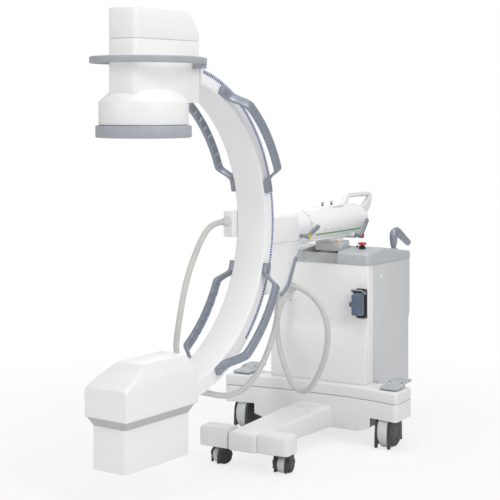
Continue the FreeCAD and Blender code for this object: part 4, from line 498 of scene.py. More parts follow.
def share(line, start, end):
    total, run, part = lineLength(line), 0.0, []
    for i, here in enumerate(line):
        if i:
            run += (here - line[i - 1]).length
        if start * total - 1e-6 <= run <= end * total + 1e-6:
            part.append(here)
    return part


# The supply hose hangs between the carriage and the cabinet, over four joints in a row, with one length
# for each joint
supplyLine = hoseLine("supply", hoses["supply"], cabinetFrame)
spans = ((0.0, 0.22, "reach", "head"), (0.22, 0.44, "pan_arm", "reach"), (0.44, 0.64, "mast", "pan_arm"),
         (0.64, 1.0, "base", "mast"))
side, run = None, 0.0
for number, (start, end, low, high) in enumerate(spans):
    part = share(supplyLine, start, end)
    if number:
        part.insert(0, lastPoint)
    lastPoint = part[-1]
    name = "supply_hose_" + str(number + 1)
    hose, side, run = hoseSkin(name, part, hoses["radius"], hoses["sides"], (number == 0, number == 3), side,
                               run)
    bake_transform(hose)
    if number == 0:
        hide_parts("supply_hose")

tubeLine = hoseLine("tube", hoses["tube"], armFrame)
hose, side, run = hoseSkin("tube_hose_jacket", tubeLine, hoses["radius"], hoses["sides"])
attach(hose, "c_arm")
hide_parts("tube_hose")

trailingLine = hoseLine("trailing", hoses["trailing"], armFrame)
hose, side, run = hoseSkin("trailing_hose_jacket", trailingLine, hoses["radius"], hoses["sides"])
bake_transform(hose)
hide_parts("trailing_hose")


# The CAD's own solids that keep their shape: each one gets its real finish
print("carried-over solids")
carried = {
    "tubeChrome": ("arm_tube", "column_inner", "upper_roller", "lower_roller"),
    "cabinetIvory": ("column_outer",),
}
for finish, names in carried.items():
    for name in names:
        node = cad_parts[name]
        for place in node.material_slots:
            place.material = finishes[finish]
        if not node.material_slots:
            node.data.materials.append(finishes[finish])


def bandRoom(name):
    # what the C's band sweeps as it orbits, 0.8 mm larger than the band
    return drum(name, 0.6408, (1.2, -0.2, 0.977), (1.2, 0.2, 0.977), 360)


def turned(name, section, centre=(0, 0, 0), axis='Z', steps=96, angle=35):
    # a half section of (radius, height) points, spun all the way round its axis
    ways = {'X': (Vector((0, 0, 1)), Vector((1, 0, 0))), 'Y': (Vector((1, 0, 0)), Vector((0, 1, 0))),
            'Z': (Vector((1, 0, 0)), Vector((0, 0, 1)))}
    out, along = ways[axis]
    centre = Vector(centre)
    piece = outline(name, [centre + out * r + along * h for r, h in section], fill=False)
    bpy.ops.mesh.spin(steps=steps, angle=2 * pi, center=centre, axis=along)
    bpy.ops.mesh.select_all(action='SELECT')
    bpy.ops.mesh.remove_doubles(threshold=0.00002)
    bpy.ops.mesh.dissolve_degenerate(threshold=0.00001)
    close(piece, 0, angle=angle)
    return piece


def angleOf(p):
    return atan2(p.z, p.x) % (2 * pi) * 180 / pi


def polar(radius, angle, y=0.0):
    return Vector((radius * cos(radians(angle)), y, radius * sin(radians(angle))))


# The C: a section drawn at one end and spun about the C's own axis
print("the C")
band = {"outer": 0.640, "depth": 0.062, "half": 0.074, "round": 0.012, "groove": 0.048,
        "grooveDepth": 0.009, "from": 99, "to": 265, "upperEnd": -0.147, "lowerEnd": -0.098}
inner = band["outer"] - band["depth"]
corner = [(inner + band["round"] * (1 - sin(radians(a))),
           band["half"] - band["round"] * (1 - cos(radians(a)))) for a in (0, 22.5, 45, 67.5, 90)]
rightHalf = [(inner, 0.0)] + [(r, y) for r, y in reversed(corner)] + [
    (band["outer"] - 0.020, band["half"]), (band["outer"] - 0.0195, band["half"] - 0.0012),
    (band["outer"] - 0.0045, band["half"] - 0.0012),
    (band["outer"] - 0.004, band["half"]), (band["outer"] - 0.001, band["half"]),
    (band["outer"], band["half"] - 0.001),
    (band["outer"], band["groove"] + 0.002), (band["outer"] - 0.001, band["groove"]),
    (band["outer"] - band["grooveDepth"], band["groove"] - 0.0015),
    (band["outer"] - band["grooveDepth"], 0.0)]
section = rightHalf + [(r, -y) for r, y in reversed(rightHalf[1:-1])]
cBand = outline("c_band_beam", [polar(r, band["from"], y) for r, y in section])
bpy.ops.mesh.spin(steps=166, angle=radians(band["to"] - band["from"]), center=(0, 0, 0), axis=(0, 1, 0))
bpy.ops.mesh.select_all(action='SELECT')
bpy.ops.mesh.remove_doubles(threshold=0.00002)
pick("faces", lambda c, n: c.z > 0)
cutAway((band["upperEnd"], 0, 0), (1, 0, 0), whole=False)
pick("faces", lambda c, n: c.z < 0)
cutAway((band["lowerEnd"], 0, 0), (1, 0, 0), whole=False)
close(cBand, 0, angle=30)
fit(cBand, cFrame, "c_arm", "bandWhite")


def stroke(name, start, end, radius, sides=28):
    # a cable gland on a hose's end: a nut, a dome and a tapered rubber sleeve with three ribs
    start, end = Vector(start), Vector(end)
    run = (end - start).length
    section = [(0, 0), (radius * 1.25, 0), (radius * 1.25, run * 0.28), (radius * 1.12, run * 0.34),
               (radius * 1.08, run * 0.46)]
    for k in range(4):
        h = 0.5 + 0.12 * k
        section += [(radius * (1.06 - 0.05 * k), run * h), (radius * (1.0 - 0.05 * k), run * (h + 0.02)),
                    (radius * (1.0 - 0.05 * k), run * (h + 0.07)),
                    (radius * (1.05 - 0.05 * k), run * (h + 0.09))]
    section += [(radius * 0.84, run), (0, run)]
    piece = turned(name, section, steps=sides, angle=40)
    turn = (end - start).to_track_quat('Z', 'Y').to_matrix().to_4x4()
    piece.data.transform(Matrix.Translation(start) @ turn)
    return piece


# The hose's gland beside the band, its pad, and the clamp that holds the trailing hose in the groove
pad = block("gland_pad", (-0.262, -0.124, -0.600), (-0.224, -0.070, -0.578), along='y', corner=0.006,
            edge=0.0012)
clamp = block("groove_clamp", (-0.176, 0.006, -0.640), (-0.152, 0.034, -0.606), along='x', corner=0.006,
              edge=0.0012)
bandGland = stroke("band_gland", (-0.2468, -0.108, -0.5807), (-0.2352, -0.108, -0.5427), 0.0145)
clampGland = stroke("clamp_gland", (-0.149, 0.020, -0.6185), (-0.186, 0.020, -0.6262), 0.0140)
fittings = joined("band_fittings", [pad, clamp, bandGland, clampGland])
fit(fittings, cFrame, "c_arm", "glandPale")
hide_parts("c_band")

# Printed scale: a thin film in the shallow recess on each side of the band
for side in (1, -1):
    y = side * (band["half"] - 0.0008)
    film = outline("scale_film",
                   [polar(r, 104.5, y) for r in (band["outer"] - 0.0188, band["outer"] - 0.0052)], fill=False)
    bpy.ops.mesh.spin(steps=122, angle=radians(121.5), center=(0, 0, 0), axis=(0, 1, 0))
    close(film, 0)
    film.name = "degree_scale_left" if side > 0 else "degree_scale_right"
    fit(film, cFrame, "c_arm", "bandScale")
    if side > 0:
        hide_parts("c_scales")

# Grab rails: one section swept round the C, stepped out from the band and back
rails = {"middle": 0.598, "wide": 0.034, "thick": 0.020, "out": 0.158, "round": 0.0055, "notches": 7,
         "upper": (115.5, 119.0, 127.5, 158.0, 163.5, 168.0),
         "lower": (196.0, 199.5, 205.0, 235.0, 243.0, 247.0)}


def grabRail(name, angles):
    padStart, bendStart, gripStart, gripEnd, bendEnd, padEnd = angles
    low, high = rails["middle"] - rails["wide"] / 2, rails["middle"] + rails["wide"] / 2
    near, step = band["half"], rails["out"] - rails["thick"] - band["half"]
    rail = outline(name, [polar(r, padStart, y) for r, y in ((low, near), (high, near),
                                                             (high, near + rails["thick"]),
                                                             (low, near + rails["thick"]))])

    def onward(angle, count, outward=0.0):
        before = 0.0
        for k in range(1, count + 1):
            bpy.ops.mesh.spin(steps=1, angle=radians(angle / count), center=(0, 0, 0), axis=(0, 1, 0))
            now = outward * (3 * (k / count) ** 2 - 2 * (k / count) ** 3)
            bpy.ops.transform.translate(value=(0, now - before, 0))
            before = now

    onward(bendStart - padStart, 3)
    onward(gripStart - bendStart, 10, step)
    pitch = (gripEnd - gripStart) / rails["notches"]
    for k in range(rails["notches"]):
        onward(pitch * 0.22, 1)
        onward(pitch * 0.56, 2)
        onward(pitch * 0.22, 1)
    onward(bendEnd - gripEnd, 10, -step)
    onward(padEnd - bendEnd, 3)
    bpy.ops.mesh.select_all(action='SELECT')
    bpy.ops.mesh.remove_doubles(threshold=0.00002)
    bpy.ops.mesh.normals_make_consistent(inside=False)
    # finger notches on the side towards the band

    def inNotch(c, n):
        turn = (angleOf(c) - gripStart) / pitch
        return n.y < -0.9 and 0 < turn < rails["notches"] and 0.22 < turn % 1 < 0.78 and c.y > near + 0.05
    pick("faces", inNotch)
    bpy.ops.mesh.inset(thickness=0.0025, depth=0)
    bpy.ops.transform.translate(value=(0, 0.006, 0))
    close(rail, rails["round"], 3, angle=50, limit=50)
    return rail


for name in ("upper", "lower"):
    left = grabRail(name + "_rail_left", rails[name])
    bpy.ops.object.duplicate()
    right = bpy.context.object
    right.name = right.data.name = name + "_rail_right"
    mirror(right)
    # button screws that hold the pads
    screws = []
    for k, angle in enumerate((rails[name][0] + 1.6, rails[name][5] - 1.6)):
        for side in (1, -1):
            head = turned("rail_screw",
                          [(0, 0), (0.0062, 0), (0.0062, 0.0012), (0.0048, 0.0028), (0.0026, 0.0030),
                           (0.0024, 0.0016), (0, 0.0016)], axis='Y', steps=20)
            spot = polar(rails["middle"], angle, side * (band["half"] + rails["thick"] - 0.0002))
            head.data.transform(Matrix.Translation(spot) @ Matrix.Scale(side, 4, (0, 1, 0)))
            if side < 0:
                head.data.flip_normals()
            screws.append(head)
    screwSet = joined(name + "_rail_screws", screws)
    fit(left, cFrame, "c_arm", "railGrey", [name + "_rails"])
    fit(right, cFrame, "c_arm", "railGrey")
    fit(screwSet, cFrame, "c_arm", "screwSteel")

# Junction box beside the band
box = block("junction_case", (-0.604, -0.116, -0.0652), (-0.545, -0.072, 0.0428))
roundEdges(lambda m, d: abs(d.y) > 0.9, 0.010, 5)
pick("faces", lambda c, n: n.y < -0.9)
bpy.ops.mesh.inset(thickness=0.004, depth=0)
close(box, 0.0018, 3)
boxGland = stroke("box_gland", (-0.546, -0.095, 0), (-0.509, -0.095, 0), 0.0160)
fit(box, cFrame, "c_arm", "bandWhite", ["junction_box"])
fit(boxGland, cFrame, "c_arm", "glandPale")


# Detector: ring and window, turned drum with its shoulder, housing, cover and guard
print("detector")
det = {"axis": 0.107, "ringR": 0.1775, "low": 1.3385, "ringTop": 1.384, "drumR": 0.166, "drumTop": 1.472,
       "front": 0.235, "rear": -0.147, "half": 0.067, "seam": 1.700, "top": 1.812, "slope": 0.066,
       "guardR": 0.200, "guardThick": 0.021, "guardLow": 1.611, "guardHigh": 1.637, "guardEnd": -0.133,
       "endHalf": 0.112}
detFrame = armFrame @ Matrix.Translation((1.2, 0, 0))
axis = (det["axis"], 0, 0)
r = det["ringR"]
ring = turned("detector_bumper_ring",
              [(r - 0.014, det["low"] + 0.0005), (r - 0.0125, det["low"]), (r - 0.005, det["low"]),
               (r - 0.0015, det["low"] + 0.0015), (r, det["low"] + 0.005), (r, det["ringTop"] - 0.006),
               (r - 0.002, det["ringTop"] - 0.002), (r - 0.006, det["ringTop"]),
               (r - 0.014, det["ringTop"])], axis, angle=40)
fit(ring, detFrame, "c_arm", "guardGrey", ["detector_ring"])
w = r - 0.0142
window = turned("detector_entrance_window",
                [(0, det["low"] + 0.0028), (w * 0.7, det["low"] + 0.0034), (w, det["low"] + 0.0042),
                 (w, det["low"] + 0.010), (0, det["low"] + 0.010)], axis)
fit(window, detFrame, "c_arm", "windowBlack", ["detector_window"])

d, z = det["drumR"], det["drumTop"]
drumBody = turned("detector_drum", [(0, det["ringTop"] + 0.001), (d - 0.004, det["ringTop"] + 0.001),
                                    (d - 0.001, det["ringTop"] + 0.002), (d, det["ringTop"] + 0.005),
                                    (d, z - 0.005), (d - 0.001, z - 0.001), (d - 0.004, z + 0.003),
                                    (d - 0.028, z + 0.024), (d - 0.045, z + 0.034), (d - 0.066, z + 0.040),
                                    (d - 0.090, z + 0.0425), (d - 0.110, z + 0.043), (0, z + 0.0435)],
                  axis, angle=60)
fit(drumBody, detFrame, "c_arm", "coverWhite")


def boxWithCorners(name, low, high, frontRound, rearRound):
    piece = block(name, low, high)
    roundEdges(lambda m, d: abs(d.z) > 0.9 and m.x > 0, frontRound, 6)
    roundEdges(lambda m, d: abs(d.z) > 0.9 and m.x < low[0] + 0.02, rearRound, 4)
    return piece


housing = boxWithCorners("detector_housing_shell", (det["rear"], -det["half"], z - 0.006),
                         (det["front"], det["half"], det["seam"] - 0.0009), 0.020, 0.010)
close(housing, 0.0015, 3, angle=40)
fit(housing, detFrame, "c_arm", "coverWhite", ["detector_housing"])
cover = boxWithCorners("detector_cover", (det["rear"], -det["half"], det["seam"] + 0.0009),
                       (det["front"], det["half"], det["top"]), 0.020, 0.010)
cutAway((det["rear"] + det["slope"], 0, det["top"]), (-0.106, 0, 0.080))
roundEdges(lambda m, d: abs(d.y) > 0.9 and m.z > det["top"] - 0.02 and m.x < 0, 0.014, 5)
pick("edges", lambda m, d: m.z > det["seam"] + 0.004 and abs(d.z) < 0.97
     and not (abs(abs(m.y) - det["half"]) > 0.0005 and m.x < det["front"] - 0.025))
close(cover, 0.007, 4, angle=40, limit=40)
# grey filler at the back of the gap between housing and cover: painted shade of the seam
lip = boxWithCorners("detector_seam_painted_shade", (det["rear"] + 0.003, -det["half"] + 0.003, det["seam"] - 0.004),
                     (det["front"] - 0.003, det["half"] - 0.003, det["seam"] + 0.004), 0.018, 0.008)
close(lip, 0)
bump = turned("cover_bump", [(0, det["top"] - 0.003), (0.022, det["top"] - 0.003),
                             (0.022, det["top"] + 0.002), (0.0205, det["top"] + 0.006),
                             (0.016, det["top"] + 0.009), (0.009, det["top"] + 0.010),
                             (0, det["top"] + 0.010)],
              (0.198, -0.038, 0), steps=48, angle=60)
fit(joined("detector_cover", [cover, bump]), detFrame, "c_arm", "coverWhite",
    ["detector_top_cover"])
fit(lip, detFrame, "c_arm", "collarGrey")


def arc(centre, radius, start, end, count, z=0.0):
    return [(centre + radius * cos(radians(start + (end - start) * k / count)),
             radius * sin(radians(start + (end - start) * k / count)), z)
            for k in range(count + 1)]


g = det["guardR"]
outside = arc(det["axis"], g, -90, 90, 48, det["guardLow"]) + [(-0.02, 0.175, det["guardLow"]),
                                                               (det["guardEnd"], det["endHalf"],
                                                                       det["guardLow"])]
inside = [(det["guardEnd"] + 0.008, det["endHalf"] - 0.021, det["guardLow"]),
          (-0.022, 0.152, det["guardLow"])] + arc(det["axis"], g - det["guardThick"], 90, -90, 48,
                                                  det["guardLow"])
rest = [(-0.022, -0.152, det["guardLow"]),
        (det["guardEnd"] + 0.008, -det["endHalf"] + 0.021, det["guardLow"]),
        (det["guardEnd"], -det["endHalf"], det["guardLow"]), (-0.02, -0.175, det["guardLow"])]
guard = outline("guard_hoop", outside + inside + rest)
pull(z=det["guardHigh"] - det["guardLow"])
close(guard, 0.006, 4, angle=50, limit=50)
ends = []
for side in (1, -1):
    low, high = sorted((side * (det["half"] - 0.002), side * det["endHalf"]))
    foot = block("guard_end", (det["guardEnd"], low, det["guardLow"] - 0.016),
                 (det["guardEnd"] + 0.034, high, det["guardHigh"]), along='z', corner=0.005, edge=0.003,
                 segments=3)
    ends.append(foot)
fit(joined("detector_guard", [guard] + ends), detFrame, "c_arm", "guardGrey",
    ["detector_guard_rail"])


# X-ray tube: case, elastomer collar and the hood
print("x-ray tube")
tube = {"rear": -0.065, "front": 0.301, "half": 0.0795, "low": 0.145, "collar": 0.305, "hoodLow": 0.336,
        "overX": 0.0206, "overY": 0.020, "shoulder": 0.447, "bend": 0.462, "top": 0.520, "hoodRear": -0.098}
case = block("tube_case_shell", (tube["rear"], -tube["half"], tube["low"]),
             (tube["front"], tube["half"], tube["collar"]))
roundEdges(lambda m, d: abs(d.z) > 0.9, 0.011, 6)
pick("faces", lambda c, n: n.z < -0.9)
bpy.ops.mesh.inset(thickness=0.008, depth=0)
bpy.ops.transform.translate(value=(0, 0, 0.0015))
close(case, 0.003, 3, angle=40)
fit(case, detFrame, "c_arm", "coverWhite", ["tube_case"])
collar = block("tube_collar_skirt", (tube["rear"], -tube["half"], tube["collar"]),
               (tube["front"], tube["half"], tube["hoodLow"]))
roundEdges(lambda m, d: abs(d.z) > 0.9, 0.011, 6)
pick("faces", lambda c, n: n.z > 0.9)
bpy.ops.transform.resize(value=((tube["front"] - tube["rear"] + 0.038) / (tube["front"] - tube["rear"]),
                                (tube["half"] + 0.017) / tube["half"], 1),
                         center_override=((tube["front"] + tube["rear"]) / 2, 0, tube["hoodLow"]))
close(collar, 0.001)
fit(collar, detFrame, "c_arm", "collarGrey", ["tube_collar"])

front, side = tube["front"] + tube["overX"], tube["half"] + tube["overY"]
hood = block("tube_hood_shell", (tube["hoodRear"], -side, tube["hoodLow"]), (front, side, tube["top"]))
cutAway((front, 0, tube["shoulder"]), (0.061, 0, 0.113))
cutAway((-0.066, 0, tube["top"]), (-0.090, 0, 0.032))
for hand in (1, -1):
    cutAway((0, hand * side, tube["bend"]), (0, hand * 0.058, 0.034))
roundEdges(lambda m, d: abs(d.y) < 0.9 and m.z > tube["shoulder"] + 0.001 and abs(m.y) > 0.055 and m.x > 0,
           0.018, 6)
roundEdges(lambda m, d: abs(d.y) > 0.9 and m.z > tube["top"] - 0.001 and m.x > 0, 0.022, 6)
close(hood, 0.011, 5, angle=50, limit=24)
fit(hood, detFrame, "c_arm", "coverWhite", ["tube_hood"])


# Arm: sleeve, neck and head, carriage, levers, knobs and loop handle, all in the arm's own frame
print("arm")
arm = {"z": 0.930, "radius": 0.073, "bore": 0.0642, "front": 0.262, "rear": -0.180, "tail": 0.080,
       "padHalf": 0.034, "padFrom": -0.074, "padTo": 0.128, "padHigh": 0.006, "neckFrom": 0.2632,
       "neckTo": 0.430, "headRear": 0.340, "headFront": 0.590, "headHalf": 0.070, "headTop": 1.002,
       "seam": 0.884, "footLow": 0.682, "footRear": 0.464, "footHalf": 0.067, "stripFrom": -0.150,
       "stripTo": 0.232, "stripDrop": 0.034}
onAxis = (0, 0, arm["z"])
barrelR = arm["radius"]


def sweep(name, stations, flat=1.0, y=0.0, sides=24):
    # a ring drawn square to its way, then pulled, turned and resized from station to station
    (x, z), turn, radius = stations[0]
    piece = startFrom(name, bpy.ops.mesh.primitive_circle_add, vertices=sides, radius=radius,
                      fill_type='NGON',
                      location=(x, y, z), rotation=(0, radians(turn), 0))
    bpy.ops.mesh.select_all(action='SELECT')
    bpy.ops.transform.resize(value=(1, flat, 1), center_override=(x, y, z))
    for ((x0, z0), turn0, r0), ((x1, z1), turn1, r1) in zip(stations, stations[1:]):
        pull(x1 - x0, 0, z1 - z0)
        bpy.ops.transform.rotate(value=radians(turn0 - turn1), orient_axis='Y', center_override=(x1, y, z1))
        bpy.ops.transform.resize(value=(r1 / r0, r1 / r0, r1 / r0), center_override=(x1, y, z1))
    bpy.ops.mesh.select_all(action='SELECT')
    return piece


def plate(name, corners, thick, radii=None, steps=6, **closing):
    # a flat outline in the XZ plane, its corners rounded one by one and pulled through its thickness
    low, high = thick
    piece = outline(name, [(x, low, z) for x, z in corners])
    pull(y=high - low)
    if radii:
        for (x, z), radius in zip(corners, radii):
            if radius:
                roundEdges(lambda m, d: abs(d.y) > 0.9 and abs(m.x - x) < 0.0004 and abs(m.z - z) < 0.0004,
                           radius, steps)
    if closing:
        close(piece, **closing)
    return piece


def studs(name, spots, radius, high, sides=16):
    # socket screws: one modelled, the rest copies turned to their own way
    first = turned(name, [(0, 0), (radius, 0), (radius, high * 0.6), (radius * 0.8, high),
                          (radius * 0.5, high), (radius * 0.45, high * 0.3), (0, high * 0.3)], steps=sides)
    copies = []
    for spot, way in spots:
        choose(first)
        bpy.ops.object.duplicate()
        copy = bpy.context.object
        turn = Vector(way).to_track_quat('Z', 'Y').to_matrix().to_4x4()
        copy.matrix_world = Matrix.Translation(spot) @ turn
        bpy.ops.object.transform_apply(location=True, rotation=True, scale=True)
        copies.append(copy)
    bpy.data.objects.remove(first)
    return joined(name, copies)


# Sleeve: one turned barrel with a domed tail, a lip at the mouth and the bore for the inner tube
tail = [(barrelR * sin(radians(a)), arm["rear"] - arm["tail"] * cos(radians(a))) for a in range(0, 91, 9)]
mouth = [(barrelR, arm["front"] - 0.012), (barrelR, arm["front"] - 0.0015),
         (barrelR - 0.0015, arm["front"]), (arm["bore"], arm["front"]), (arm["bore"], arm["front"] - 0.390),
         (0, arm["front"] - 0.390)]
barrel = turned("sleeve_barrel", tail + mouth, onAxis, 'X', 96, angle=40)
pad = block("sleeve_pad", (arm["padFrom"], -arm["padHalf"], arm["z"] + 0.050),
            (arm["padTo"], arm["padHalf"], arm["z"] + barrelR + arm["padHigh"]))
pick("faces", lambda c, n: n.z > 0.9)
bpy.ops.transform.resize(value=(0.94, 0.66, 1),
                         center_override=((arm["padFrom"] + arm["padTo"]) / 2, 0,
                                          arm["z"] + barrelR + arm["padHigh"]))
roundEdges(lambda m, d: m.z > arm["z"] + 0.060, 0.006, 4)
close(pad, 0.0015, 3)
boss = drum("lever_boss", 0.0125, (-0.086, 0.030, 0.869), (-0.086, 0.075, 0.869), 32, edge=0.002, segments=3)
fit(joined("arm_sleeve_barrel", [barrel, pad, boss]), armFrame, "pan_arm", "armWhite",
    ["arm_sleeve"])
label = block("pad_label", (-0.062, 0.0195, arm["z"] + barrelR + 0.0002),
              (0.030, 0.031, arm["z"] + barrelR + 0.0045), edge=0.0006)
fit(label, armFrame, "pan_arm", "armWhite")

# Under-plate of the sleeve, and the printed strip with its three index marks
under = block("sleeve_under_plate", (-0.150, -0.046, 0.8665), (0.225, 0.046, 0.8735), along='z',
              corner=0.008, edge=0.0012)
fit(under, armFrame, "pan_arm", "armWhite")
half, drop = 0.0034 / barrelR, arm["stripDrop"] / barrelR
stripPoints = []
for k in range(5):
    a = -drop + (k - 2) * half / 2
    stripPoints.append((arm["stripFrom"], (barrelR + 0.0006) * (1 - a * a) ** 0.5,
                        arm["z"] + (barrelR + 0.0006) * a))
strip = outline("green_strip", stripPoints, fill=False)
pull(x=arm["stripTo"] - arm["stripFrom"])
close(strip, 0)
fit(strip, armFrame, "pan_arm", "armScale", ["arm_scale"])
marks = []
for x in (0.040, 0.100, 0.160):
    a = -0.24
    marks.append(((x, barrelR * (1 - a * a) ** 0.5, arm["z"] + barrelR * a), (0, (1 - a * a) ** 0.5, a)))
fit(studs("index_pins", marks, 0.0032, 0.0012), armFrame, "pan_arm", "screwSteel")

# Turntable: machined disc, cradle and an index dot
disc = turned("turntable_disc", [(0, 0.8485), (0.0525, 0.8485), (0.054, 0.850), (0.054, 0.8555),
                                 (0.0525, 0.857), (0.046, 0.857), (0.046, 0.861), (0.0445, 0.8625),
                                 (0, 0.8625)], steps=72, angle=30)
cradle = block("turntable_cradle", (-0.070, -0.040, 0.8575), (0.070, 0.040, 0.885), along='z', corner=0.012,
               edge=0.0015)
fit(joined("arm_turntable", [disc, cradle]), armFrame, "pan_arm", "armWhite", ["turntable"])
dot = drum("turntable_dot", 0.0045, (0.030, 0.0440, 0.8525), (0.0325, 0.0480, 0.8525), 20, edge=0.0006)
fit(dot, armFrame, "pan_arm", "tipYellow")

# Loop handle: one moulded bow, wide at its feet, with a grey grip under the top bar
bow = plate("loop_bow", [(-0.060, 0.996), (-0.096, 1.006), (-0.120, 1.0555), (-0.352, 1.0495),
                         (-0.340, 0.985), (-0.262, 0.924), (-0.228, 0.924), (-0.244, 0.976),
                         (-0.290, 1.000), (-0.330, 1.034), (-0.143, 1.0385), (-0.124, 0.9985),
                         (-0.090, 0.985)],
            (-0.0105, 0.0105), (0, 0.03, 0.030, 0.034, 0.04, 0.0, 0.0, 0.03, 0.03, 0.018, 0.010, 0.012, 0),
            edge=0.0055, segments=4, angle=50, limit=50)
fit(bow, armFrame, "pan_arm", "armWhite", ["loop_handle"])
grip = block("loop_grip_strip", (-0.322, -0.0085, 1.0325), (-0.152, 0.0085, 1.0400), edge=0.0022, segments=3)
grip.data.transform(Matrix.Translation((-0.237, 0, 1.036)) @ Matrix.Rotation(radians(-1.3), 4, 'Y')
                    @ Matrix.Translation((0.237, 0, -1.036)))
fit(grip, armFrame, "pan_arm", "collarGrey")

# Wing knobs of the sleeve's locks
for name, x in (("front_knob", 0.073), ("rear_knob", -0.002)):
    top = arm["z"] + barrelR + arm["padHigh"]
    stem = turned(name + "_stem", [(0, top - 0.003), (0.0058, top - 0.003), (0.0058, top + 0.0015),
                                   (0.0036, top + 0.003), (0.0034, top + 0.011), (0, top + 0.011)],
                  (x, 0, 0), steps=24)
    wing = plate(name + "_wing",
                 [(x - 0.0108, top + 0.0110), (x - 0.0040, top + 0.0128), (x - 0.0040, top + 0.0080),
                  (x + 0.0040, top + 0.0080), (x + 0.0040, top + 0.0128), (x + 0.0108, top + 0.0110),
                  (x + 0.0072, top + 0.0162), (x, top + 0.0170), (x - 0.0072, top + 0.0162)],
                 (-0.0045, 0.0045), edge=0.0011, segments=3, limit=25)
    fit(stem, armFrame, name, "blackPlastic", [name])
    fit(wing, armFrame, name, "collarGrey")

# Neck and head: a turned neck, and the casting whose rear corners are rounded in plan and on top
neck = turned("head_neck", [(0.0645, 0.3236), (0.0645, arm["neckFrom"]),
                            (barrelR - 0.0012, arm["neckFrom"]), (barrelR, arm["neckFrom"] + 0.0012),
                            (barrelR, arm["neckFrom"] + 0.0072),
                            (barrelR - 0.0014, arm["neckFrom"] + 0.0076),
                            (barrelR - 0.0014, arm["neckFrom"] + 0.0096),
                            (barrelR, arm["neckFrom"] + 0.010), (barrelR, arm["neckTo"]),
                            (0, arm["neckTo"]), (0, 0.3236)], onAxis, 'X', 96,
              angle=40)
head = block("head_casting", (arm["headRear"], -arm["headHalf"], arm["seam"] + 0.0008),
             (arm["headFront"], arm["headHalf"], arm["headTop"]))
roundEdges(lambda m, d: abs(d.z) > 0.9 and m.x < arm["headRear"] + 0.01, 0.050, 10)
roundEdges(lambda m, d: m.z > arm["headTop"] - 0.001 and m.x < arm["headFront"] - 0.002, 0.026, 8)
close(head, 0.0, angle=50)
carve(head, bandRoom("head_cut"))
bpy.ops.object.shade_smooth_by_angle(angle=radians(40))
shells = []
for side in (1, -1):
    low, high = sorted((side * (arm["headHalf"] - 0.002), side * (arm["headHalf"] + 0.003)))
    shell = plate("head_shell", [(0.600, 0.887), (0.435, 0.894), (0.378, 0.930), (0.368, 0.965),
                                 (0.408, 0.991), (0.600, 0.991)], (low, high),
                  (0, 0.030, 0.020, 0.018, 0.020, 0), 5, edge=0.0022, segments=3, angle=40, limit=40)
    carve(shell, bandRoom("shell_cut"))
    shells.append(shell)
fit(joined("head_and_neck", [head, neck] + shells), armFrame, "head", "armWhite", ["roll_head"])
gold = turned("roll_index_ring", [(barrelR - 0.0020, 0), (barrelR + 0.0003, 0), (barrelR + 0.0003, 0.0018),
                                  (barrelR - 0.0020, 0.0018)], (arm["neckFrom"] + 0.0077, 0, arm["z"]), 'X',
              96)
fit(gold, armFrame, "head", "brassRing")
spots = []
for k in range(12):
    a = radians(15 + 30 * k)
    spots.append(((arm["neckFrom"] + 0.0036, barrelR * cos(a), arm["z"] + barrelR * sin(a)),
                  (0, cos(a), sin(a))))
fit(studs("neck_screws", spots, 0.0030, 0.0008), armFrame, "head", "screwSteel")

# Carriage: the casting below the head, narrowing to its foot, with its two hose glands
carriage = plate("carriage_casting",
                 [(arm["footRear"], arm["footLow"]), (0.650, arm["footLow"]), (0.650, arm["seam"] - 0.0008),
                  (0.349, arm["seam"] - 0.0008)],
                 (-arm["footHalf"], arm["footHalf"]), (0.012, 0, 0, 0.018))
roundEdges(lambda m, d: m.z < arm["footLow"] + 0.001 and abs(d.x) > 0.9, 0.012, 5)
roundEdges(lambda m, d: abs(abs(m.y) - arm["footHalf"]) < 0.0005 and abs(d.y) < 0.1
           and m.z < arm["seam"] - 0.004 and m.x < 0.60, 0.005, 4)
close(carriage, 0, angle=50)
carve(carriage, bandRoom("carriage_cut"))
bpy.ops.object.shade_smooth_by_angle(angle=radians(40))
fit(carriage, armFrame, "head", "armWhite", ["carriage"])
# black block inside the gap between head and carriage: painted shade of the seam
seam = block("carriage_seam_painted_shade", (arm["headRear"] + 0.020, -arm["footHalf"] + 0.0015, arm["seam"] - 0.0012),
             (0.566, arm["footHalf"] - 0.0015, arm["seam"] + 0.0012), edge=0)
fit(seam, armFrame, "head", "casterBlack")
loopGland = stroke("loop_gland", (0.462, 0.0288, 0.7087), (0.4340, 0.0438, 0.7040), 0.0140)
lowGland = stroke("low_gland", (0.494, 0.050, 0.686), (0.494, 0.050, 0.652), 0.0140)
fit(joined("carriage_glands", [loopGland, lowGland]), armFrame, "head", "glandPale")


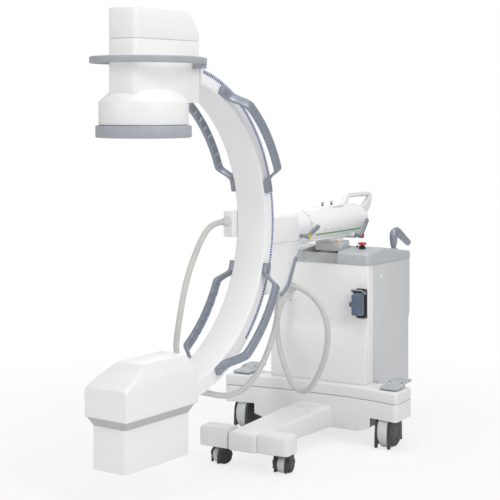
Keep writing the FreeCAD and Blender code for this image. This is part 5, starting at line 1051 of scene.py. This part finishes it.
def lever(name, x, z, lean, length, cap, shaftFrom):
    # cross shaft with a root boss, a hub with a coloured cap, and a grip that widens to its rounded end
    shaft = turned(name + "_shaft", [(0, shaftFrom), (0.0105, shaftFrom), (0.0105, shaftFrom + 0.004),
                                     (0.0070, shaftFrom + 0.006), (0.0070, 0.094), (0, 0.094)],
                   (x, 0, z), 'Y', 32)
    hub = turned(name + "_hub", [(0, 0.092), (0.0098, 0.092), (0.0110, 0.0935), (0.0110, 0.1135),
                                 (0, 0.1135)], (x, 0, z), 'Y', 32)
    tip = turned(name + "_cap", [(0, 0.1135), (0.0106, 0.1135), (0.0100, 0.1152), (0.0078, 0.1160),
                                 (0, 0.1160)], (x, 0, z), 'Y', 32)
    grip = plate(name + "_grip", [(x, z - 0.0090), (x, z + 0.0090), (x - length * 0.35, z + 0.0075),
                                  (x - length, z + 0.0105), (x - length, z - 0.0105),
                                  (x - length * 0.35, z - 0.0075)],
                 (0.0985, 0.1105), (0, 0, 0.03, 0.0098, 0.0098, 0.03), edge=0.0035, segments=3, limit=40)
    grip.data.transform(Matrix.Translation((x, 0, z)) @ Matrix.Rotation(radians(lean), 4, 'Y')
                        @ Matrix.Translation((-x, 0, -z)))
    body = "roll_lock_lever" if cap == "tipYellow" else "pan_lock_lever"
    fit(joined(name + "_arm", [shaft, hub, grip]), armFrame, body, "railGrey", [body])
    fit(tip, armFrame, body, cap)


lever("front_lever", 0.352, 0.902, 24, 0.092, "tipYellow", 0.066)
lever("rear_lever", -0.086, 0.869, 52, 0.092, "tipRed", 0.074)

# Brake bar: a cranked blade on its pin
bar = plate("brake_blade", [(0.387, 0.815), (0.394, 0.8205), (0.401, 0.815), (0.4575, 0.7085),
                            (0.5115, 0.6715), (0.5035, 0.6615), (0.4435, 0.7030)],
            (0.0685, 0.0765), (0.006, 0.008, 0.006, 0.022, 0.003, 0.003, 0.022), edge=0.0022, segments=3,
            limit=40)
pin = drum("brake_pin", 0.005, (0.394, 0.056, 0.812), (0.394, 0.0775, 0.812), 24, edge=0.0006)
fit(joined("brake_bar_blade", [bar, pin]), armFrame, "brake_bar", "railGrey", ["brake_bar"])

# Column head: the block that carries the turntable, with its machined top
headBlock = block("column_head_block", (-0.062, -0.064, 0.806), (0.036, 0.064, 0.848))
roundEdges(lambda m, d: abs(d.z) > 0.9, 0.009, 5)
pick("faces", lambda c, n: n.z > 0.9)
bpy.ops.mesh.inset(thickness=0.006, depth=0)
bpy.ops.transform.translate(value=(0, 0, -0.0008))
close(headBlock, 0.0018, 3)
fit(headBlock, cabinetFrame, "mast", "headPaint", ["column_head"])


# Cabinet: front cover, side panels, rear cover, lid with its notch and steel plate
print("cabinet")
cab = {"front": 0.111, "half": 0.236, "rear": -0.338, "rearLow": -0.324, "step": 0.500, "low": 0.182,
       "baseTop": 0.2465, "depth": 0.062, "ledgeLow": 0.440, "ledgeHigh": 0.497, "ledgeOut": 0.025,
       "wall": 0.005, "topFront": 0.761, "topRear": 0.750, "lidFront": 0.812, "peakX": -0.055,
       "peakZ": 0.824, "lidRear": 0.783, "notchHalf": 0.086, "notchRear": -0.072, "plateTop": 0.806}


def lidLine(x):
    slope = (cab["topRear"] - cab["topFront"]) / (cab["front"] - cab["rear"])
    return cab["topFront"] + (cab["front"] - x) * slope


x0, x1, w = cab["front"] - cab["depth"], cab["front"], cab["half"] - 0.0035
cover = plate("front_cover_shell",
              [(x0, cab["baseTop"] + 0.0008), (x1 + cab["ledgeOut"], cab["baseTop"] + 0.0008),
               (x1 + cab["ledgeOut"], cab["ledgeLow"]), (x1, cab["ledgeHigh"]), (x1, lidLine(x1) - 0.001),
               (x0, lidLine(x0) - 0.001)], (-w, w), (0, 0, 0.040, 0.040, 0, 0), 8)
roundEdges(lambda m, d: abs(abs(m.y) - w) < 0.0005 and abs(d.y) < 0.1 and m.x > x1 - 0.001, 0.022, 8)
close(cover, 0.0012, 2, angle=50, limit=50)
fit(cover, cabinetFrame, "base", "cabinetIvory", ["front_cover"])

px = x0 - 0.0006
for side in (1, -1):
    low, high = sorted((side * (cab["half"] - cab["wall"]), side * cab["half"]))
    panel = plate("side_panel_left" if side > 0 else "side_panel_right",
                  [(cab["rearLow"], cab["low"]), (0.024, cab["low"]), (0.024, cab["baseTop"] + 0.0008),
                   (px, cab["baseTop"] + 0.0008), (px, lidLine(px) - 0.001),
                   (cab["rear"], lidLine(cab["rear"]) - 0.001), (cab["rear"], cab["step"]),
                   (cab["rearLow"], cab["step"] - 0.020)],
                  (low, high), (0.006, 0.006, 0, 0.002, 0.002, 0.002, 0.003, 0.003), edge=0.0012, segments=3,
                  limit=50)
    fit(panel, cabinetFrame, "base", "panelGrey")
    # quarter-turn lock in each panel
    lock = turned("panel_lock_left" if side > 0 else "panel_lock_right",
                  [(0, 0), (0.0085, 0), (0.0085, 0.0012), (0.0072, 0.0020), (0.0052, 0.0020),
                   (0.0048, 0.0010), (0, 0.0010)], steps=32)
    lock.data.transform(Matrix.Rotation(radians(-90 * side), 4, 'X'))
    lock.data.transform(Matrix.Translation((-0.020, side * cab["half"], 0.700)))
    fit(lock, cabinetFrame, "base", "coverWhite")
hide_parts("side_panels")

w = cab["half"] - cab["wall"] - 0.0006
back = plate("rear_cover_sheet", [(cab["rearLow"], cab["low"]), (cab["rearLow"] + 0.005, cab["low"]),
                                  (cab["rearLow"] + 0.005, cab["step"] - 0.018),
                                  (cab["rear"] + 0.005, cab["step"] + 0.002),
                                  (cab["rear"] + 0.005, lidLine(cab["rear"]) - 0.001),
                                  (cab["rear"], lidLine(cab["rear"]) - 0.001), (cab["rear"], cab["step"]),
                                  (cab["rearLow"], cab["step"] - 0.020)], (-w, w), edge=0.0012, segments=3,
             limit=20)
fit(back, cabinetFrame, "base", "panelGrey", ["rear_cover"])
slats = []
for k in range(9):
    slat = block("vent_slat", (cab["rear"] - 0.0012, -0.120, 0.560 + 0.016 * k),
                 (cab["rear"] + 0.001, 0.120, 0.566 + 0.016 * k), edge=0.001)
    slats.append(slat)
fit(joined("rear_vent_slats", slats), cabinetFrame, "base", "casterBlack")
spots = [((cab["rear"], y, z), (-1, 0, 0)) for y in (-0.215, 0.215) for z in (0.530, 0.725)]
spots += [((cab["rearLow"], y, 0.205), (-1, 0, 0)) for y in (-0.215, 0.215)]
fit(studs("rear_cover_screws", spots, 0.0042, 0.0016), cabinetFrame, "base", "screwSteel")

# Lid: a sloping moulding, rolled over at its edges, cut open at the front for the column
lf, lr, w = cab["front"] + 0.002, cab["rear"] - 0.010, cab["half"] + 0.002
lid = plate("lid_moulding", [(lr, lidLine(lr)), (lf, lidLine(lf)), (lf, cab["lidFront"]),
                             (cab["peakX"], cab["peakZ"]), (lr, cab["lidRear"])], (-w, w))
bpy.ops.object.mode_set(mode='OBJECT')
knife = block("lid_knife", (cab["notchRear"], -cab["notchHalf"], 0.700),
              (lf + 0.050, cab["notchHalf"], 0.900))
carve(lid, knife)
bpy.ops.object.mode_set(mode='EDIT')
roundEdges(lambda m, d: abs(d.z) > 0.95 and abs(m.x - lf) < 0.001 and abs(abs(m.y) - w) < 0.001, 0.018, 6)
roundEdges(lambda m, d: abs(d.z) > 0.95 and abs(m.x - lr) < 0.001, 0.012, 6)


def lidTopEdge(m, d):
    x = m.x
    top = cab["lidFront"] + (lf - x) / (lf - cab["peakX"]) * (cab["peakZ"] - cab["lidFront"])
    if x < cab["peakX"]:
        top = cab["peakZ"] + (cab["peakX"] - x) / (cab["peakX"] - lr) * (cab["lidRear"] - cab["peakZ"])
    outside = x > lf - 0.020 or x < lr + 0.014 or abs(m.y) > w - 0.022
    ridge = abs(d.y) > 0.9 and abs(x - cab["peakX"]) < 0.002
    return abs(m.z - top) < 0.0012 and outside and not ridge and abs(m.y) > 0


roundEdges(lidTopEdge, 0.013, 6)
close(lid, 0.0015, 3, angle=50, limit=50)
fit(lid, cabinetFrame, "base", "lidGrey", ["cabinet_lid"])
floorPlate = block("notch_floor", (cab["notchRear"] - 0.001, -cab["notchHalf"] - 0.001, 0.7440),
                   (lf - 0.004, cab["notchHalf"] + 0.001, 0.7520), edge=0)
fit(floorPlate, cabinetFrame, "base", "casterBlack")
steel = block("column_plate_sheet", (lf - 0.0025, -cab["notchHalf"] + 0.0006, cab["topFront"]),
              (lf, cab["notchHalf"] - 0.0006, cab["plateTop"]), along='x', corner=0.0015, steps=3,
              edge=0.0004)
fit(steel, cabinetFrame, "base", "plateSteel", ["column_plate"])
fit(studs("plate_screws", [((lf, y, 0.773), (1, 0, 0)) for y in (-0.076, 0.076)], 0.0036, 0.0016, 20),
    cabinetFrame, "base", "screwSteel", ["cover_screws"])

# Emergency stop: black base with a collar, mushroom button and a small pin beside it
x, y = 0.006, 0.156
top = cab["lidFront"] + (cab["front"] - x) / (cab["front"] - cab["peakX"]) * (cab["peakZ"] - cab["lidFront"])
base = turned("stop_base", [(0, top - 0.003), (0.0155, top - 0.003), (0.0155, top + 0.0015),
                            (0.0143, top + 0.0025), (0.0143, top + 0.0125), (0.0132, top + 0.014),
                            (0.0, top + 0.014)], (x, y, 0), steps=48)
fit(base, cabinetFrame, "base", "blackPlastic", ["stop_button_base"])
b = top + 0.0185
button = turned("stop_mushroom", [(0, top + 0.010), (0.0078, top + 0.010), (0.0080, b - 0.0010),
                                  (0.0165, b + 0.0006), (0.0194, b + 0.0030), (0.0200, b + 0.0052),
                                  (0.0192, b + 0.0072), (0.0160, b + 0.0092), (0.0100, b + 0.0104),
                                  (0, b + 0.0108)], (x, y, 0), steps=64, angle=50)
fit(button, cabinetFrame, "stop_button", "stopRed", ["stop_button"])
pinFoot = turned("lid_pin", [(0, 0), (0.0050, 0), (0.0046, 0.0070), (0.0030, 0.0090), (0, 0.0095)], steps=24)
pinFoot.data.transform(Matrix.Translation((-0.025, 0.118, top + 0.0012)))
fit(pinFoot, cabinetFrame, "base", "casterBlack")

# Steering handle: a moulded hook, drawn round from its collar to its grip
x, y = -0.236, 0.200
z = 0.7987
stations = [((x, z + 0.010), 0, 0.0115), ((x, z + 0.016), 0, 0.0150), ((x, z + 0.026), 0, 0.0166),
            ((x, z + 0.050), 0, 0.0190), ((x - 0.002, z + 0.066), -6, 0.0200),
            ((x - 0.008, z + 0.074), -28, 0.0206), ((x - 0.020, z + 0.0772), -62, 0.0206),
            ((x - 0.036, z + 0.0768), -92, 0.0202), ((x - 0.052, z + 0.0715), -112, 0.0196),
            ((x - 0.070, z + 0.0625), -117, 0.0188), ((x - 0.100, z + 0.0475), -117, 0.0180),
            ((x - 0.140, z + 0.0275), -117, 0.0160), ((x - 0.165, z + 0.0149), -117, 0.0158),
            ((x - 0.1692, z + 0.0128), -117, 0.0142)]
hook = sweep("steering_hook", stations, 0.92, y, 32)
close(hook, 0.0012, 3, angle=50, limit=50)
stalk = turned("steering_collar",
               [(0, z - 0.020), (0.013, z - 0.020), (0.013, z + 0.0045), (0.0120, z + 0.0060),
                (0.0105, z + 0.0068), (0.0105, z + 0.0125), (0, z + 0.0125)], (x, y, 0), steps=40)
fit(joined("steering_handle_grip", [hook, stalk]), cabinetFrame, "steering_handle", "railGrey",
    ["steering_handle"])
rose = turned("steering_rose", [(0.0135, z - 0.004), (0.021, z - 0.004), (0.021, z + 0.0006),
                                (0.0195, z + 0.0022), (0.0150, z + 0.0024), (0.0135, z + 0.0010)], (x, y, 0),
              steps=48)
fit(rose, cabinetFrame, "base", "lidGrey")

# Heavy-duty connector: black base, cast hood, locking bow and its side entry
cy, cz, cx = 0.204, 0.596, cab["front"]
flange = block("connector_flange", (cx - 0.001, cy - 0.025, cz - 0.064),
               (cx + 0.008, cy + 0.025, cz + 0.064), along='x', corner=0.006, edge=0.001)
housing = block("connector_housing", (cx + 0.007, cy - 0.021, cz - 0.054),
                (cx + 0.026, cy + 0.021, cz + 0.054), along='x', corner=0.005, edge=0.0012)
lugs = []
for side in (1, -1):
    lug = block("connector_lug", (cx + 0.010, cy - 0.0225, cz + side * 0.046 - 0.006),
                (cx + 0.024, cy + 0.0225, cz + side * 0.046 + 0.006), edge=0.002, segments=3)
    lugs.append(lug)
fit(joined("connector_base_housing", [flange, housing] + lugs), cabinetFrame, "base", "blackPlastic",
    ["connector_base"])
fit(studs("connector_screws", [((cx + 0.008, cy + sy * 0.020, cz + sz * 0.059),
                                (1, 0, 0)) for sy in (1, -1) for sz in (1, -1)], 0.0026, 0.001),
    cabinetFrame, "base", "screwSteel")
hoodBody = block("connector_hood_cast", (cx + 0.0265, cy - 0.022, cz - 0.049),
                 (cx + 0.072, cy + 0.022, cz + 0.049))
pick("faces", lambda c, n: n.x > 0.9)
bpy.ops.transform.resize(value=(1, 0.82, 0.90), center_override=(cx + 0.072, cy, cz))
roundEdges(lambda m, d: abs(d.x) > 0.7, 0.007, 5)
roundEdges(lambda m, d: m.x > cx + 0.0715, 0.006, 5)
close(hoodBody, 0.0008)
ribs = []
for k in (-1, 0, 1):
    rib = block("hood_rib", (cx + 0.030, cy + 0.0185, cz + 0.022 * k - 0.0015),
                (cx + 0.062, cy + 0.0232, cz + 0.022 * k + 0.0015), edge=0.001)
    ribs.append(rib)
entry = turned("connector_entry", [(0, cy - 0.035), (0.0085, cy - 0.035), (0.0110, cy - 0.033),
                                   (0.0110, cy - 0.027), (0.0125, cy - 0.026), (0.0125, cy - 0.020),
                                   (0, cy - 0.020)],
               (cx + 0.049, 0, cz), 'Y', 24)
fit(joined("connector_hood_body", [hoodBody, entry] + ribs), cabinetFrame, "base", "hoodBlue",
    ["connector_hood"])
px, pz = cx + 0.017, cz + 0.046
arms = []
for side in (1, -1):
    out = cy + side * 0.023
    low, high = sorted((out, out + side * 0.0035))
    arm1 = plate("bow_arm", [(px - 0.005, pz - 0.005), (px + 0.006, pz - 0.005), (px + 0.041, pz + 0.013),
                             (px + 0.041, pz + 0.0205), (px - 0.004, pz + 0.006)],
                 (low, high), (0.003, 0.004, 0.002, 0.003, 0.003), edge=0.0008)
    pivot = drum("bow_pivot", 0.0042, (px, cy + side * 0.014, pz), (px, out + side * 0.0050, pz), 20,
                 edge=0.0008)
    arms += [arm1, pivot]
bar = block("bow_bar", (px + 0.033, cy - 0.0262, pz + 0.0135), (px + 0.0410, cy + 0.0262, pz + 0.0200),
            edge=0.0024, segments=3)
fit(joined("connector_bow", arms + [bar]), cabinetFrame, "connector_latch", "screwSteel",
    ["connector_latch"])

# Round gland of the supply hose
glandDisc = turned("gland_disc", [(0, cx), (0.040, cx), (0.040, cx + 0.0030), (0.0385, cx + 0.0048),
                                  (0.0345, cx + 0.005), (0.0335, cx + 0.0042), (0, cx + 0.0042)],
                   (0, -0.144, 0.618), 'X', 64)
fit(glandDisc, cabinetFrame, "base", "coverWhite", ["supply_gland"])
root, tip = Vector((0.112, -0.1373, 0.6526)), Vector((0.136, -0.147, 0.621))
nose = stroke("supply_nose", root, tip, 0.0150)
fit(nose, cabinetFrame, "base", "collarGrey")
fit(studs("gland_screws", [((cx + 0.0045, -0.144 + 0.030 * cos(radians(a)), 0.618 + 0.030 * sin(radians(a))),
                            (1, 0, 0)) for a in (30, 150, 270)], 0.0030, 0.0010),
    cabinetFrame, "base", "screwSteel")


# Base: skirt and top cover of one outline, with swept beams, and a black strip in the seam between them as
# painted shade of the seam
print("base")
base = {"rear": -0.3184, "half": 0.2304, "endRear": 0.068, "end": 0.4185, "sweepX": 0.2315, "front": 0.183,
        "sweepY": 0.227, "low": 0.060, "seam": 0.200, "top": 0.2465, "endLow": 0.126, "wellY": 0.302,
        "edgeY": 0.215, "edgeZ": 0.088, "casterX": 0.147, "casterY": 0.345, "swing": 0.0820, "well": 0.0605,
        "ceiling": 0.168}


def slab(name, corners, low, high, radii, steps=6):
    piece = outline(name, [(x, y, low) for x, y in corners])
    pull(z=high - low)
    for (x, y), radius in zip(corners, radii):
        if radius:
            roundEdges(lambda m, d: abs(d.z) > 0.9 and abs(m.x - x) < 0.0004 and abs(m.y - y) < 0.0004,
                       radius, steps)
    return piece


def beamOutline(inset=0.0):
    f, s, e = base["front"] - inset, base["sweepX"] - inset, base["end"] - inset
    r, back, w = base["rear"] + inset, base["endRear"] + inset, base["half"] - inset
    right = [(r, -w), (back, -w), (back, -e), (s, -e), (f, -base["sweepY"])]
    return right + [(x, -y) for x, y in reversed(right)]


beamRadii = (0.018, 0.006, 0.014, 0.020, 0.120, 0.120, 0.020, 0.014, 0.006, 0.018)
skirt = slab("base_skirt_shell", beamOutline(), base["low"], base["seam"] - 0.0012, beamRadii, 8)
roundEdges(lambda m, d: m.z > base["seam"] - 0.002, 0.0025, 3)
bpy.ops.object.mode_set(mode='OBJECT')
for side in (1, -1):
    low, high = sorted((side * base["wellY"], side * 0.460))
    carve(skirt, block("skirt_knife", (-0.400, low, 0.000), (0.300, high, base["endLow"])))
    rising = outline("skirt_wedge",
                     [(-0.400, side * base["edgeY"], 0.0595),
                      (-0.400, side * (base["wellY"] + 0.001), 0.0595),
                      (-0.400, side * (base["wellY"] + 0.001), base["edgeZ"])])
    pull(x=0.700)
    bpy.ops.mesh.select_all(action='SELECT')
    bpy.ops.mesh.normals_make_consistent(inside=False)
    carve(skirt, rising)
    spot = (base["casterX"], side * base["casterY"])
    carve(skirt, drum("skirt_swing", base["swing"], (*spot, 0.000), (*spot, base["endLow"]), 96))
    carve(skirt, drum("skirt_well", base["well"], (*spot, 0.100), (*spot, base["ceiling"]), 72))
choose(skirt)
bpy.ops.object.mode_set(mode='EDIT')
close(skirt, 0.0025, 3, angle=40, limit=38)
fit(skirt, cabinetFrame, "base", "baseWhite", ["base_skirt"])

cover = slab("base_top_cover", beamOutline(), base["seam"] + 0.0008, base["top"], beamRadii, 8)
roundEdges(lambda m, d: m.z > base["top"] - 0.001, 0.008, 5)
roundEdges(lambda m, d: m.z < base["seam"] + 0.001, 0.0025, 3)
close(cover, 0, angle=40)
ears = []
for side in (1, -1):
    for y in (side * 0.360 - 0.028, side * 0.360 + 0.028):
        ear = plate("pedal_ear",
                    [(0.097, base["top"] - 0.002), (0.115, base["top"] - 0.002), (0.115, 0.2640),
                     (0.097, 0.2640)], (y - 0.003, y + 0.003), (0, 0, 0.0085, 0.0085), edge=0.0008)
        ears.append(ear)
fit(joined("base_top_shell", [cover] + ears), cabinetFrame, "base", "baseWhite", ["base_top"])
# black strip at the back of the seam gap: painted shade where the skirt meets the top cover
paintedSeamShade = slab("base_seam_painted_shade", beamOutline(0.0035), base["seam"] - 0.004, base["seam"] + 0.004,
                 beamRadii)
close(paintedSeamShade, 0)
fit(paintedSeamShade, cabinetFrame, "base", "casterBlack")

# Leg: a tapering box whose underside rises to the front, a raised plate at its root, and two caster caps
leg = slab("leg_box", [(0.183, -0.0885), (0.800, -0.069), (0.800, 0.069), (0.183, 0.0885)], 0.060, 0.152,
           (0, 0.020, 0.020, 0), 6)
pick("points", lambda p: p.z < 0.061 and p.x > 0.700)
bpy.ops.transform.translate(value=(0, 0, 0.020))
roundEdges(lambda m, d: m.z > 0.1515 and m.x > 0.1835, 0.014, 6)
roundEdges(lambda m, d: m.z < 0.0805 and m.x > 0.1835, 0.007, 4)
close(leg, 0, angle=40)
rootPlate = slab("leg_root_plate", [(0.170, -0.0700), (0.300, -0.0680), (0.300, 0.0680), (0.170, 0.0700)],
                 0.150, 0.1565, (0, 0.018, 0.018, 0), 6)
roundEdges(lambda m, d: m.z > 0.156 and m.x > 0.172, 0.0035, 4)
close(rootPlate, 0, angle=40)
fit(joined("leg_shell", [leg, rootPlate]), cabinetFrame, "base", "baseWhite", ["leg"])


def legHalf(x):
    return 0.0885 + (x - 0.183) / 0.617 * (0.069 - 0.0885)


capPiece = slab("leg_cap_left", [(0.702, legHalf(0.702) + 0.0008), (0.796, legHalf(0.796) + 0.0008),
                                 (0.796, 0.205), (0.702, 0.205)], 0.082, 0.161, (0, 0, 0.022, 0.022), 6)
roundEdges(lambda m, d: m.z > 0.1605 and m.y > 0.080, 0.016, 6)
roundEdges(lambda m, d: m.z < 0.0825 and m.y > 0.080, 0.008, 4)
close(capPiece, 0, angle=40)
bpy.ops.object.duplicate()
otherCap = bpy.context.object
otherCap.name = otherCap.data.name = "leg_cap_right"
mirror(otherCap)
fit(capPiece, cabinetFrame, "base", "capWhite", ["leg_caps"])
fit(otherCap, cabinetFrame, "base", "capWhite")

# Brake pedals: a low front pad and a raised rear pad in one moulding, each with a raised mark
for side, body in ((1, "left_pedal"), (-1, "right_pedal")):
    y0, y1 = side * 0.360 - 0.042, side * 0.360 + 0.042
    pad = plate(body + "_pad", [(0.190, 0.2510), (0.190, 0.2590), (0.122, 0.2590), (0.098, 0.2700),
                                (0.018, 0.2718), (0.018, 0.2638), (0.096, 0.2620), (0.118, 0.2510)], (y0, y1),
                (0, 0, 0.006, 0.006, 0, 0, 0.006, 0.006), 4)
    roundEdges(lambda m, d: abs(d.z) > 0.95 and (m.x > 0.189 or m.x < 0.019), 0.014, 6)
    close(pad, 0.0022, 3, angle=40, limit=40)
    for y in (side * 0.360 - 0.028, side * 0.360 + 0.028):
        carve(pad, block("pedal_knife", (0.092, y - 0.0042, 0.230), (0.120, y + 0.0042, 0.300)))
    bpy.ops.object.shade_smooth_by_angle(angle=radians(40))
    axle = drum("pedal_axle", 0.005, (0.106, y0 + 0.006, 0.256), (0.106, y1 - 0.006, 0.256), 24, edge=0.0006)
    web = block("pedal_web", (0.100, side * 0.360 - 0.022, 0.2545), (0.112, side * 0.360 + 0.022, 0.2600),
                edge=0.0008)
    marks = [pad, axle, web]
    for x, z in ((0.156, 0.2588), (0.056, 0.2706)):
        mark = turned("pedal_mark",
                      [(0, 0), (0.0150, 0), (0.0140, 0.0014), (0.0105, 0.0014), (0.0098, 0.0004),
                       (0, 0.0004)], steps=40)
        mark.data.transform(Matrix.Translation((x, side * 0.360, z)) @ Matrix.Scale(1.5, 4, (0, 1, 0)))
        marks.append(mark)
    fit(joined(body + "_moulding", marks), cabinetFrame, body, "pedalGrey", [body])


# Casters: hooded forks with round cheeks, crowns, stems and cable prongs, and turned wheels
print("casters")


def casterFork(name, size, place, body):
    r, half, thick = size["radius"], size["width"] / 2 + 0.001, size["cheek"]
    top, trail = size["top"], size["trail"]
    out, disc = half + thick, size["disc"]
    reach = r * 0.6
    pieces = []
    for side in (1, -1):
        # the cheek: a round cover, thicker at its middle, under a hood that reaches up to the crown
        cheek = turned("cheek", [(0, half), (disc - 0.0015, half), (disc, half + 0.0015),
                                 (disc, out - size["curve"]),
                                 (disc - size["curve"] * 0.3, out - size["curve"] * 0.3),
                                 (disc - size["curve"], out), (disc * 0.62, out),
                                 (disc * 0.60, out - 0.0012), (disc * 0.54, out - 0.0012),
                                 (disc * 0.52, out), (0, out)], (-trail, 0, r), 'Y', 56)
        hoodSide = block("hood_side", (-trail - reach, half, r), (-trail + reach, out - 0.0008, top))
        roundEdges(lambda m, d: abs(d.x) > 0.9 and m.y > out - 0.0013 and m.z > top - 0.0005,
                   min(0.005, thick * 0.4), 4)
        close(hoodSide, 0.0015, 2)
        shoulder = plate("cheek_shoulder",
                         [(-trail - disc + 0.001, r), (-trail + disc - 0.001, r),
                          (-trail + disc - 0.001, r * 1.42), (-trail + reach, r * 1.72),
                          (-trail - reach, r * 1.72), (-trail - disc + 0.001, r * 1.42)],
                         (half + 0.0004, out - 0.0016), (0, 0, 0.010, 0.006, 0.006, 0.010), 4, edge=0.0015,
                         segments=2, limit=40)
        for piece in (cheek, hoodSide, shoulder):
            if side < 0:
                mirror(piece)
            pieces.append(piece)
        low, high = sorted((side * half, side * (half + min(thick, 0.012))))
        prong = plate("prong", [(-trail + r * 0.80, 0.006), (-trail + r * 0.94, 0.006),
                                (-trail + r * 0.90, r * 1.10), (-trail + r * 0.50, r * 1.16)],
                      (low, high), (0.002, 0.004, 0.012, 0), edge=0.0014, segments=3, limit=40)
        pieces.append(prong)
        if size["rearProng"]:
            low, high = sorted((side * half, side * (half + min(thick, 0.012))))
            tail = plate("prong_rear", [(-trail - r * 0.80, r * 0.30), (-trail - r * 0.92, r * 0.30),
                                        (-trail - r * 0.88, r * 1.10), (-trail - r * 0.50, r * 1.16)],
                         (low, high), (0.002, 0.004, 0.012, 0), edge=0.0014, segments=3, limit=40)
            pieces.append(tail)
        # two moulding marks on each cheek, each a raised rim
        for angle in (-28, 28):
            a = radians(angle)
            spot = (-trail + disc * 0.80 * cos(a), side * (out - 0.0008), r + disc * 0.80 * sin(a))
            rim = turned("cheek_rim",
                         [(0.0022 * size["rim"], 0), (0.0036 * size["rim"], 0),
                          (0.0034 * size["rim"], 0.0016), (0.0024 * size["rim"], 0.0016)], steps=20)
            rim.data.transform(Matrix.Translation(spot) @ Matrix.Rotation(radians(-90 * side), 4, 'X'))
            pieces.append(rim)
    crown = block("crown", (-trail - reach, -out, r * 2 + 0.003), (max(0.012, reach - trail), out, top))
    roundEdges(lambda m, d: m.z > top - 0.0005 and abs(d.z) < 0.1, min(0.004, (top - r * 2) * 0.3), 3)
    close(crown, 0.001, 2)
    stem = drum("stem", 0.009, (0, 0, top - 0.002), (0, 0, top + 0.020), 32, edge=0.0008)
    pieces += [crown, stem]
    fit(joined(name, pieces), place, body, "casterBlack", [body])


def casterWheel(name, size, place, body):
    r, half, trail = size["radius"], size["width"] / 2, size["trail"]
    edge = size["edge"]
    arcs = [(r - edge * (1 - cos(radians(a))), edge * sin(radians(a))) for a in (0, 18, 36, 54, 72, 90)]
    side = [(q, half - edge + s) for q, s in arcs]
    tread = turned(name + "_tread",
                   [(r * 0.70, -half)] + [(q, -h) for q, h in reversed(side)] + side + [(r * 0.70, half)]
                   + [(r * 0.68, half - 0.002), (r * 0.68, -half + 0.002)],
                   (-trail, 0, r), 'Y', 96, angle=50)
    hub = turned(name + "_hub", [(0, -half - 0.0085), (0.005, -half - 0.0085), (0.005, -half),
                                 (r * 0.30, -half + 0.001), (r * 0.34, -half + 0.006),
                                 (r * 0.60, -half + 0.006), (r * 0.66, -half + 0.001),
                                 (r * 0.692, -half + 0.001), (r * 0.692, half - 0.001),
                                 (r * 0.66, half - 0.001), (r * 0.60, half - 0.006),
                                 (r * 0.34, half - 0.006), (r * 0.30, half - 0.001), (0.005, half),
                                 (0.005, half + 0.0085), (0, half + 0.0085)], (-trail, 0, r), 'Y', 64)
    fit(tread, place, body, "treadGrey", [body])
    fit(hub, place, body, "casterBlack")


rear = {"radius": 0.074, "width": 0.044, "cheek": 0.013, "disc": 0.0662, "curve": 0.004, "top": 0.1675,
        "trail": 0.0, "edge": 0.007, "rim": 1.6, "rearProng": True}
front = {"radius": 0.035, "width": 0.032, "cheek": 0.020, "disc": 0.0325, "curve": 0.010, "top": 0.0815,
         "trail": 0.024, "edge": 0.006, "rim": 1.2, "rearProng": False}
for side, hand in ((1, "left"), (-1, "right")):
    place = cabinetFrame @ Matrix.Translation((base["casterX"], side * base["casterY"], 0))
    casterFork(hand + "_rear_fork_hood", rear, place, hand + "_rear_fork")
    casterWheel(hand + "_rear", rear, place, hand + "_rear_wheel")
    swivel = 2.0 if side > 0 else -28.0
    place = cabinetFrame @ Matrix.Translation((0.744, side * 0.149, 0))
    place = place @ Matrix.Rotation(radians(swivel), 4, 'Z')
    casterFork(hand + "_front_fork_hood", front, place, hand + "_front_fork")
    casterWheel(hand + "_front", front, place, hand + "_front_wheel")


scene.view_layers[0].update()
